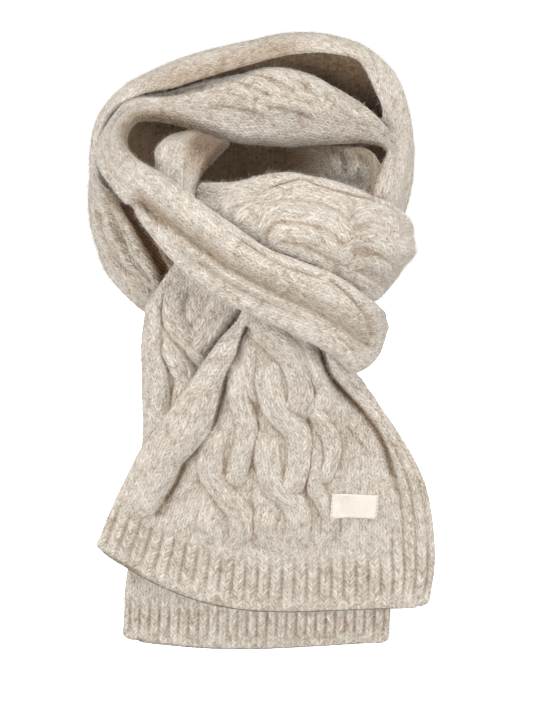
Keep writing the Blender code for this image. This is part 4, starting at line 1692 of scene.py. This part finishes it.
@dataclass(frozen=True)
class Label:
    """The blank woven label on the front end, with its sewn ends.

    Attributes:
        size: Width and height.
        flat: The same of its cut, in metres; not used.
        centre: X and Z of its middle.
        turn: How far it is turned, in degrees.
        thick: Its thickness.
        lift: How far it stands off the knit.
        fold: Depth of the turned-in ends.
        fold_width: Half the width of the edge that a turned-in end shows.
        fold_rise: How far that edge stands out, and how far the rim is rounded.
        rim: Width of the rounded rim.
        pucker: How far the stitches pucker the tape.
        pucker_turn: Waves of the pucker, in radians for each millimetre.
        pucker_reach: How far it reaches from an end.
        points: Points across and up.
        seats: Places across and up at which the knit under it is felt.
        reach: How far round each of those places.
        felt: Share of the knit there that stands out past where it rests, in hundredths.
        back_rim: How far the back is rounded, as a share of the front's rounding.
        stitches: Stitches along each end.
        stitch: Length of a stitch, as a share of its room.
        inset: Distance of the stitches from an end.
        sunk: How deep the ends of a stitch are sunk.
        arch: How far its middle stands out from there.
        thread: Radius of the thread.
    """

    size: tuple[float, float] = (34.0, 18.0)
    flat: tuple[float, float] = (0.034, 0.018)
    centre: tuple[float, float] = (73.8, -243.8)
    turn: float = -4.5
    thick: float = 1.0
    lift: float = 0.9
    fold: float = 2.2
    fold_width: float = 0.7
    fold_rise: float = 0.45
    rim: float = 0.6
    pucker: float = 0.10
    pucker_turn: float = 2.2
    pucker_reach: float = 5.0
    points: tuple[int, int] = (41, 25)
    seats: tuple[int, int] = (9, 6)
    reach: float = 4.0
    felt: float = 12.0
    back_rim: float = 0.3
    stitches: int = 6
    stitch: float = 0.62
    inset: float = 1.0
    sunk: float = 0.05
    arch: float = 0.14
    thread: float = 0.24

    def spread(self, columns: int, rows: int) -> tuple[Array, Array]:
        """A grid of places on the label, right of its middle and above it."""
        x, z = self.size[0] / 2, self.size[1] / 2
        return np.meshgrid(np.linspace(-x, x, columns), np.linspace(-z, z, rows))

    def place(self, dx: Array, dz: Array) -> tuple[Array, Array]:
        """X and Z of a place on the label."""
        c, s = math.cos(math.radians(self.turn)), math.sin(math.radians(self.turn))
        return self.centre[0] + dx * c - dz * s, self.centre[1] + dx * s + dz * c

    def seat(self, tail: Wall, dx: Array, dz: Array) -> Array:
        """Y of the knit under places on the label, evened out.

        Args:
            tail: The front end.
            dx: Distance right of the middle.
            dz: Distance above the middle.

        Returns:
            One Y for each place.
        """
        seat_x, seat_z = self.spread(*self.seats)
        x, z = self.place(seat_x, seat_z)
        grid = tail.outer.reshape(-1, 3)
        depth = np.empty(x.shape)
        for index in np.ndindex(x.shape):
            off = np.hypot(grid[:, 0] - x[index], grid[:, 2] - z[index])
            depth[index] = np.percentile(grid[off < self.reach, 1], self.felt)
        return spline(seat_z[:, 0], spline(seat_x[0], depth.T, dx[0]).T, dz[:, 0])

    def build(self, tail: Wall, tape: bpy.types.Material, thread: bpy.types.Material) -> list:
        """Build the label and its stitches.

        Args:
            tail: The front end.
            tape: Finish of the label.
            thread: Finish of the stitches.

        Returns:
            The pieces.
        """
        dx, dz = self.spread(*self.points)
        x_edge, z_edge = self.size[0] / 2 - np.abs(dx), self.size[1] / 2 - np.abs(dz)
        bulk = self.fold_rise * held_in(1.0 - np.abs(x_edge - self.fold) / self.fold_width)
        softened = self.fold_rise * held_in(1.0 - np.minimum(x_edge, z_edge) / self.rim) ** 2
        fading = held_in(1.0 - x_edge / self.pucker_reach)
        pucker = self.pucker * np.sin(dz * self.pucker_turn) * fading
        x, z = self.place(dx, dz)
        back = self.seat(tail, dx, dz) - self.lift + pucker
        front = np.stack([x, back - self.thick + softened + bulk, z], -1)
        back = np.stack([x, back - softened * self.back_rim, z], -1)
        shell = Shell(*dx.shape, 1)
        points = np.concatenate([front.reshape(-1, 3), back.reshape(-1, 3)])
        mesh = mesh_of("woven_label", points, shell.loops, shell.sizes)
        flat = np.stack([dx, dz], -1).reshape(-1, 2)
        threads = flat[np.concatenate([shell.top.ravel(), shell.below_at])]
        mesh.uv_layers.new(name="tape").uv.foreach_set("vector", threads.ravel().astype(np.float32))
        mesh.shade_smooth()
        label = wear(mesh, tape)
        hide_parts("label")
        return [label, self.sew(dx, dz, front, thread)]

    def sew(
        self, dx: Array, dz: Array, front: Array, thread: bpy.types.Material
    ) -> bpy.types.Object:
        """Sew both ends down with short stitches.

        Args:
            dx: Distance right of the middle, over the grid.
            dz: Distance above the middle, over the grid.
            front: Points of the label's face.
            thread: Finish of the stitches.

        Returns:
            The piece.
        """
        curve = bpy.data.curves.new("label_stitches", "CURVE")
        curve.dimensions = "3D"
        curve.bevel_depth = self.thread * MM
        curve.bevel_resolution = 2
        curve.use_fill_caps = True
        room = self.size[1] / self.stitches
        for end in (-1.0, 1.0):
            column = int(np.abs(dx[0] - end * (self.size[0] / 2 - self.inset)).argmin())
            for number in range(self.stitches):
                line = curve.splines.new("POLY")
                line.points.add(4)
                for point, t in zip(line.points, np.linspace(-0.5, 0.5, 5)):
                    at = -self.size[1] / 2 + room * (number + 0.5) + t * room * self.stitch
                    y = np.interp(at, dz[:, 0], front[:, column, 1])
                    y = y + self.sunk - self.arch * math.cos(math.pi * t)
                    x, z = self.place(dx[0, column], at)
                    point.co = (x * MM, y * MM, z * MM, 1.0)
        return wear(curve, thread)


# ---- the scarf

PLAIN = (1.3, 1.15)
FINE = (0.72, 0.85)
RIBS = {"ribs": 28, "inside": 0.12}
FRONT_RIBS = RIBS | {"rib_top": 0.168, "rib_climb": 17.0, "rib_border": 80.0, "folds": FRONT_FOLDS}


@dataclass
class Scarf:
    """The whole scarf, in the order of its strip."""

    yarn: HeatherYarn = HeatherYarn()
    fibre: LooseFibre = LooseFibre()
    tape: WovenTape = WovenTape()
    thread: SewingThread = SewingThread()
    brushing: Brushing = Brushing()
    label: Label = Label()

    def stretches(self) -> list[Stretch]:
        """Lay out the strip.

        Returns:
            The stretches, each with its table, its cut and its relief.
        """
        return [
            Stretch("nape_outer", OUTER_LOOP, (0, 0.44), (0.13, 0.28), Held.DRAPED, "nape_inner",
                    ridges=NAPE_OUTER_RIDGES, shade_paint=NAPE_OUTER_SHADE_PAINT, inside=1.0, nap=0.36,
                    pitch=PLAIN),
            Stretch("left_wrap", OUTER_LOOP, (0.44, 0.79), (0.10, 0.22), Held.DRAPED, "left_turn",
                    ridges=NAPE_OUTER_RIDGES, fade_out=0.44, folds=LEFT_WRAP_FOLDS, fold_from=0.64,
                    shade_paint=LEFT_WRAP_SHADE_PAINT, inside=1.0, nap=0.5, pitch=(1.15, 1.0)),
            Stretch("loop_back", OUTER_LOOP, (0.79, 1), (0.05, 0.13), Held.DRAPED, "left_wrap",
                    nap=0.2, pitch=(1.3, 1.2)),
            Stretch("nape_inner", INNER_LOOP, (0, 0.40), (0.06, 0.26), Held.DRAPED, "nape_outer",
                    cables=NAPE_CABLES, shade_paint=NAPE_SHADE_PAINT),
            Stretch("left_turn", INNER_LOOP, (0.40, 0.62), (0.05, 0.14), Held.DRAPED, "left_wrap",
                    ridges=LEFT_TURN_RIDGES, shade_paint=LEFT_TURN_SHADE_PAINT),
            Stretch("crossing_wrap", INNER_LOOP, (0.62, 1), (0.08, 0.24), Held.DRAPED, "front_wrap",
                    ridges=CROSSING_RIDGES, folds=CROSSING_FOLDS, shade_paint=CROSSING_SHADE_PAINT, fade_out=0.9,
                    pitch=(0.9, 0.9)),
            Stretch("front_wrap", FRONT_WRAP, (0, 1), (0.11, 0.20), Held.DRAPED, "nape_inner",
                    folds=WRAP_FOLDS, cables=WRAP_CABLES, fade_out=0.72, pitch=(0.85, 0.85)),
            Stretch("throat_wrap", THROAT_WRAP, (0, 1), (0.05, 0.20), Held.DRAPED, "nape_inner",
                    folds=THROAT_FOLDS, cables=THROAT_CABLES, shade_paint=THROAT_SHADE_PAINT),
            Stretch("throat_fold", THROAT_FOLD, (0.69123, 1), (0.06, 0.16), Held.GATHERED,
                    "front_wrap", ridges=FOLD_RIDGES, shade_paint=FOLD_SHADE_PAINT, inside=1.6),
            Stretch("front_tail", FRONT_TAIL, (0.168, 1), (0.17, 0.19), Held.HUNG, "crossing_wrap",
                    cables=FRONT_CABLES, wales=FRONT_WALES, fade_in=0.26, pitch=(0.9, 0.85),
                    **FRONT_RIBS),
            Stretch("front_tail_rib", FRONT_TAIL, (0, 0.168), (0.25, 0.04), Held.HUNG, "front_tail",
                    rib_hang=0.033, ribbed=True, hem=True, pitch=FINE, **FRONT_RIBS),
            Stretch("back_tail", BACK_TAIL, (0.070, 0.675), (0.15, 0.29), Held.HUNG,
                    "crossing_wrap", folds=BACK_FOLDS, cables=BACK_CABLES, nap=0.3, inside=0.12,
                    pitch=PLAIN),
            Stretch("back_tail_rib", BACK_TAIL, (0, 0.070), (0.20, 0.035), Held.HUNG, "back_tail",
                    rib_top=0.070, ribbed=True, hem=True, pitch=FINE, **RIBS),
        ]

    def build(self) -> list[bpy.types.Object]:
        """Build every stretch, its fibres and the label.

        Returns:
            The pieces.
        """
        yarn, fibre = self.yarn.build(), self.fibre.build()
        stretches = self.stretches()
        walls = {stretch.name: stretch.build(yarn) for stretch in stretches}
        pieces = []
        for number, stretch in enumerate(stretches):
            wall = walls[stretch.name]
            fuzz = self.brushing.build(wall, fibre, SEED + number)
            pieces += [wall.piece, fuzz]
        label, sewn = self.label.build(walls["front_tail"], self.tape.build(), self.thread.build())
        return [*pieces, label, sewn]


# ---- studio


@dataclass(frozen=True)
class Studio:
    """A pale floor, soft light and the camera.

    Attributes:
        target: What the camera looks at, in metres.
        distance: Camera to target.
        elevation: Camera above the horizon, in degrees.
        lens: Focal length.
        floor: Height of the floor.
        floor_side: Half the side of the floor.
        sky: Strength of the light from all round.
        box: Side of a soft box.
        boxes: Name, place and power of each soft box.
    """

    target: Place = (0.0104, 0.0, -0.1555)
    distance: float = 2.0
    elevation: float = 14.0
    lens: float = 135.3
    floor: float = -0.62
    floor_side: float = 8.0
    sky: float = 0.06
    box: float = 1.1
    boxes: tuple[tuple[str, Place, float], ...] = (
        ("left", (-1.7, -1.0, -0.25), 37.0),
        ("right", (1.7, -1.0, 0.1), 28.0),
        ("front", (0.1, -2.1, -0.1), 23.5),
        ("top", (0.0, -0.5, 2.0), 35.0),
        ("back", (0.3, 2.1, 0.1), 56.0),
    )

    def camera(self) -> None:
        """Set the camera."""
        data = bpy.data.cameras.new("camera")
        data.lens = self.lens
        data.sensor_width = 36.0
        camera = put("camera", data)
        angle = math.radians(self.elevation)
        back = Vector((0.0, -math.cos(angle), math.sin(angle)))
        camera.location = Vector(self.target) + back * self.distance
        camera.rotation_euler = back.to_track_quat("Z", "Y").to_euler()
        bpy.context.scene.camera = camera

    def lights(self) -> None:
        """Hang the soft boxes, facing the scarf."""
        for name, place, power in self.boxes:
            data = bpy.data.lights.new(name, "AREA")
            data.size = self.box
            data.energy = power
            lamp = put(name, data)
            lamp.location = place
            aim = Vector(place) - Vector(self.target)
            lamp.rotation_euler = aim.to_track_quat("Z", "Y").to_euler()

    def room(self) -> None:
        """Lay the floor and light the air."""
        mesh = bpy.data.meshes.new("floor")
        corners = [(x * self.floor_side, y * self.floor_side, self.floor)
                   for x, y in ((-1, -1), (1, -1), (1, 1), (-1, 1))]
        mesh.from_pydata(corners, [], [(0, 1, 2, 3)])
        mesh.materials.append(Graph("pale_floor").finish({
            "Base Color": (0.93, 0.93, 0.93, 1.0),
            "Roughness": 0.9,
            "Specular IOR Level": 0.0,
            "Emission Color": (1.0, 1.0, 1.0, 1.0),
            "Emission Strength": 0.95,
        }))
        floor = put("floor", mesh)
        floor.visible_diffuse = False
        world = bpy.data.worlds.new("air")
        world.use_nodes = True
        air = world.node_tree.nodes["Background"]
        air.inputs["Color"].default_value = (1.0, 0.99, 0.98, 1.0)
        air.inputs["Strength"].default_value = self.sky
        bpy.context.scene.world = world

    def build(self) -> None:
        """Set up the whole studio."""
        self.camera()
        self.room()
        self.lights()
        bpy.context.scene.view_settings.view_transform = "Standard"


def main() -> None:
    """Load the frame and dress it."""
    logging.basicConfig(level=logging.INFO, format="%(name)s %(message)s")
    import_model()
    Studio().build()
    for piece in Scarf().build():
        LOG.info("made %s", piece.name)
    bpy.context.view_layer.update()
    LOG.info("sizes written")


if __name__ == "__main__":
    main()
